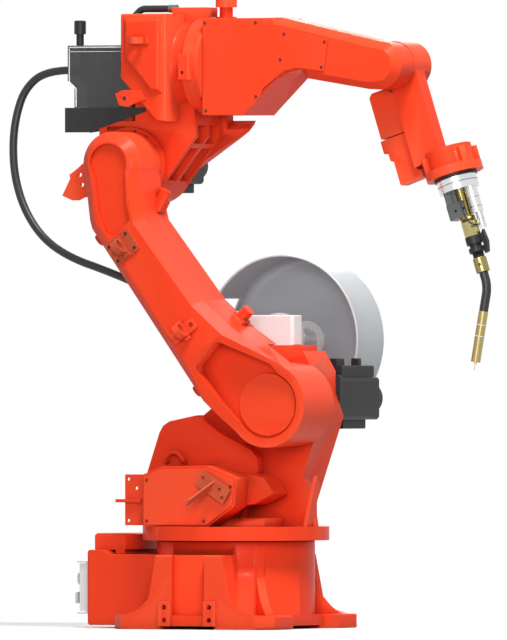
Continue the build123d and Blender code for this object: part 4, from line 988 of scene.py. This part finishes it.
def fade_out(tree, shader, near, far):
    """Let a floor turn clear between two distances from its middle, so that no edge shows."""
    reach = tree.nodes.new("ShaderNodeVectorMath")
    reach.operation = "LENGTH"
    tree.links.new(tree.nodes.new("ShaderNodeTexCoord").outputs["Object"], reach.inputs[0])
    clear = tree.nodes.new("ShaderNodeBsdfTransparent")
    mix = tree.nodes.new("ShaderNodeMixShader")
    tree.links.new(ramp(tree, reach.outputs["Value"], near, far), mix.inputs[0])
    tree.links.new(shader.outputs[0], mix.inputs[1])
    tree.links.new(clear.outputs[0], mix.inputs[2])
    tree.links.new(mix.outputs[0], tree.nodes["Material Output"].inputs["Surface"])


FLOOR_SIZE = 5.0
FLOOR_FADE = (0.85, 1.75)
FLOOR_LIT = (0.42, 0.42, 0.42, 1.0)
FLOOR_SEEN = (0.97, 0.97, 0.97, 1.0)
WORLD_LIGHT = 0.24
LAMP_AIM = Vector((0.0, 0.0, 0.62))
VIEW_TURN = math.radians(27.0)
VIEW_MIDDLE = Vector((0.0327, 0.0167, 0.6468))
VIEW_HEIGHT = 1.344
SENSOR = 36.0


class ROBOT_OT_stage(bpy.types.Operator):
    """Set the floor, lamps, world and camera"""

    bl_idname = "robot.stage"
    bl_label = "Stage"

    def execute(self, context):
        scene = context.scene
        scene.view_settings.view_transform = "Standard"
        bpy.ops.mesh.primitive_plane_add(size=FLOOR_SIZE, location=(0.0, 0.0, -0.0005))
        floor = context.object
        floor.name = "studio_floor"
        pale = bpy.data.materials.new("studio_floor")
        pale.use_nodes = True
        shader = pale.node_tree.nodes["Principled BSDF"]
        shader.inputs["Roughness"].default_value = 0.6
        shader.inputs["Specular IOR Level"].default_value = 0.2
        tone = mix_colour(pale.node_tree, seen_rays(pale.node_tree), FLOOR_LIT, FLOOR_SEEN)
        pale.node_tree.links.new(tone, shader.inputs["Base Color"])
        fade_out(pale.node_tree, shader, *FLOOR_FADE)
        floor.data.materials.append(pale)
        world = bpy.data.worlds.new("studio_world")
        scene.world = world
        world.use_nodes = True
        tree = world.node_tree
        plain = tree.nodes["Background"]
        plain.inputs["Color"].default_value = (1.0, 1.0, 1.0, 1.0)
        plain.inputs["Strength"].default_value = WORLD_LIGHT
        seen = tree.nodes.new("ShaderNodeBackground")
        seen.inputs["Color"].default_value = (1.0, 1.0, 1.0, 1.0)
        seen.inputs["Strength"].default_value = 1.0
        mix = tree.nodes.new("ShaderNodeMixShader")
        tree.links.new(seen_rays(tree), mix.inputs[0])
        tree.links.new(plain.outputs[0], mix.inputs[1])
        tree.links.new(seen.outputs[0], mix.inputs[2])
        tree.links.new(mix.outputs[0], tree.nodes["World Output"].inputs["Surface"])
        for name, spot, size, power in (
            ("key_lamp", (1.3, -1.1, 3.9), 1.0, 140.0),
            ("near_lamp", (1.5, -3.2, 1.1), 1.2, 56.0),
            ("rear_lamp", (-1.6, 3.2, 2.4), 2.2, 60.0),
        ):
            lamp = bpy.data.lights.new(name, "AREA")
            lamp.shape = "SQUARE"
            lamp.size = size
            lamp.energy = power
            holder = bpy.data.objects.new(name, lamp)
            holder.location = spot
            holder.rotation_euler = (LAMP_AIM - Vector(spot)).to_track_quat("-Z", "Y").to_euler()
            scene.collection.objects.link(holder)
        lens = bpy.data.cameras.new("studio_camera")
        lens.sensor_fit = "AUTO"
        lens.sensor_width = SENSOR
        lens.lens = SENSOR * sizes().camera_distance / VIEW_HEIGHT
        lens.clip_end = 200.0
        camera = bpy.data.objects.new("studio_camera", lens)
        way = Vector((math.sin(VIEW_TURN), -math.cos(VIEW_TURN), 0.0))
        camera.location = VIEW_MIDDLE + sizes().camera_distance * way
        camera.rotation_euler = (math.radians(90.0), 0.0, VIEW_TURN)
        scene.collection.objects.link(camera)
        scene.camera = camera
        return {"FINISHED"}


PIECE_OPERATORS = (
    ROBOT_OT_stage,
    ROBOT_OT_conduit,
    ROBOT_OT_castings,
    ROBOT_OT_motors,
    ROBOT_OT_spool,
    ROBOT_OT_feeder,
    ROBOT_OT_torch,
    ROBOT_OT_screws,
    ROBOT_OT_details,
)


class VIEW3D_PT_robot(bpy.types.Panel):
    """Pieces and sizes of the robot arm"""

    bl_label = "Robot arm"
    bl_idname = "VIEW3D_PT_robot"
    bl_space_type = "VIEW_3D"
    bl_region_type = "UI"
    bl_category = "Robot arm"

    def draw(self, context):
        layout = self.layout
        for operator in PIECE_OPERATORS:
            layout.operator(operator.bl_idname)
        for values in (context.scene.robot_sizes, context.scene.robot_finishes):
            for label in values.__annotations__:
                layout.prop(values, label)


CLASSES = (RobotSizes, RobotFinishes) + PIECE_OPERATORS + (VIEW3D_PT_robot,)


def register():
    for kind in CLASSES:
        bpy.utils.register_class(kind)
    bpy.types.Scene.robot_sizes = bpy.props.PointerProperty(type=RobotSizes)
    bpy.types.Scene.robot_finishes = bpy.props.PointerProperty(type=RobotFinishes)


def unregister():
    del bpy.types.Scene.robot_finishes
    del bpy.types.Scene.robot_sizes
    for kind in reversed(CLASSES):
        bpy.utils.unregister_class(kind)


def main():
    register()
    bpy.ops.robot.stage()
    bpy.ops.robot.conduit()
    bpy.ops.robot.castings()
    bpy.ops.robot.motors()
    bpy.ops.robot.spool()
    bpy.ops.robot.feeder()
    bpy.ops.robot.torch()
    bpy.ops.robot.screws()
    bpy.ops.robot.details()


if __name__ == "__main__":
    main()
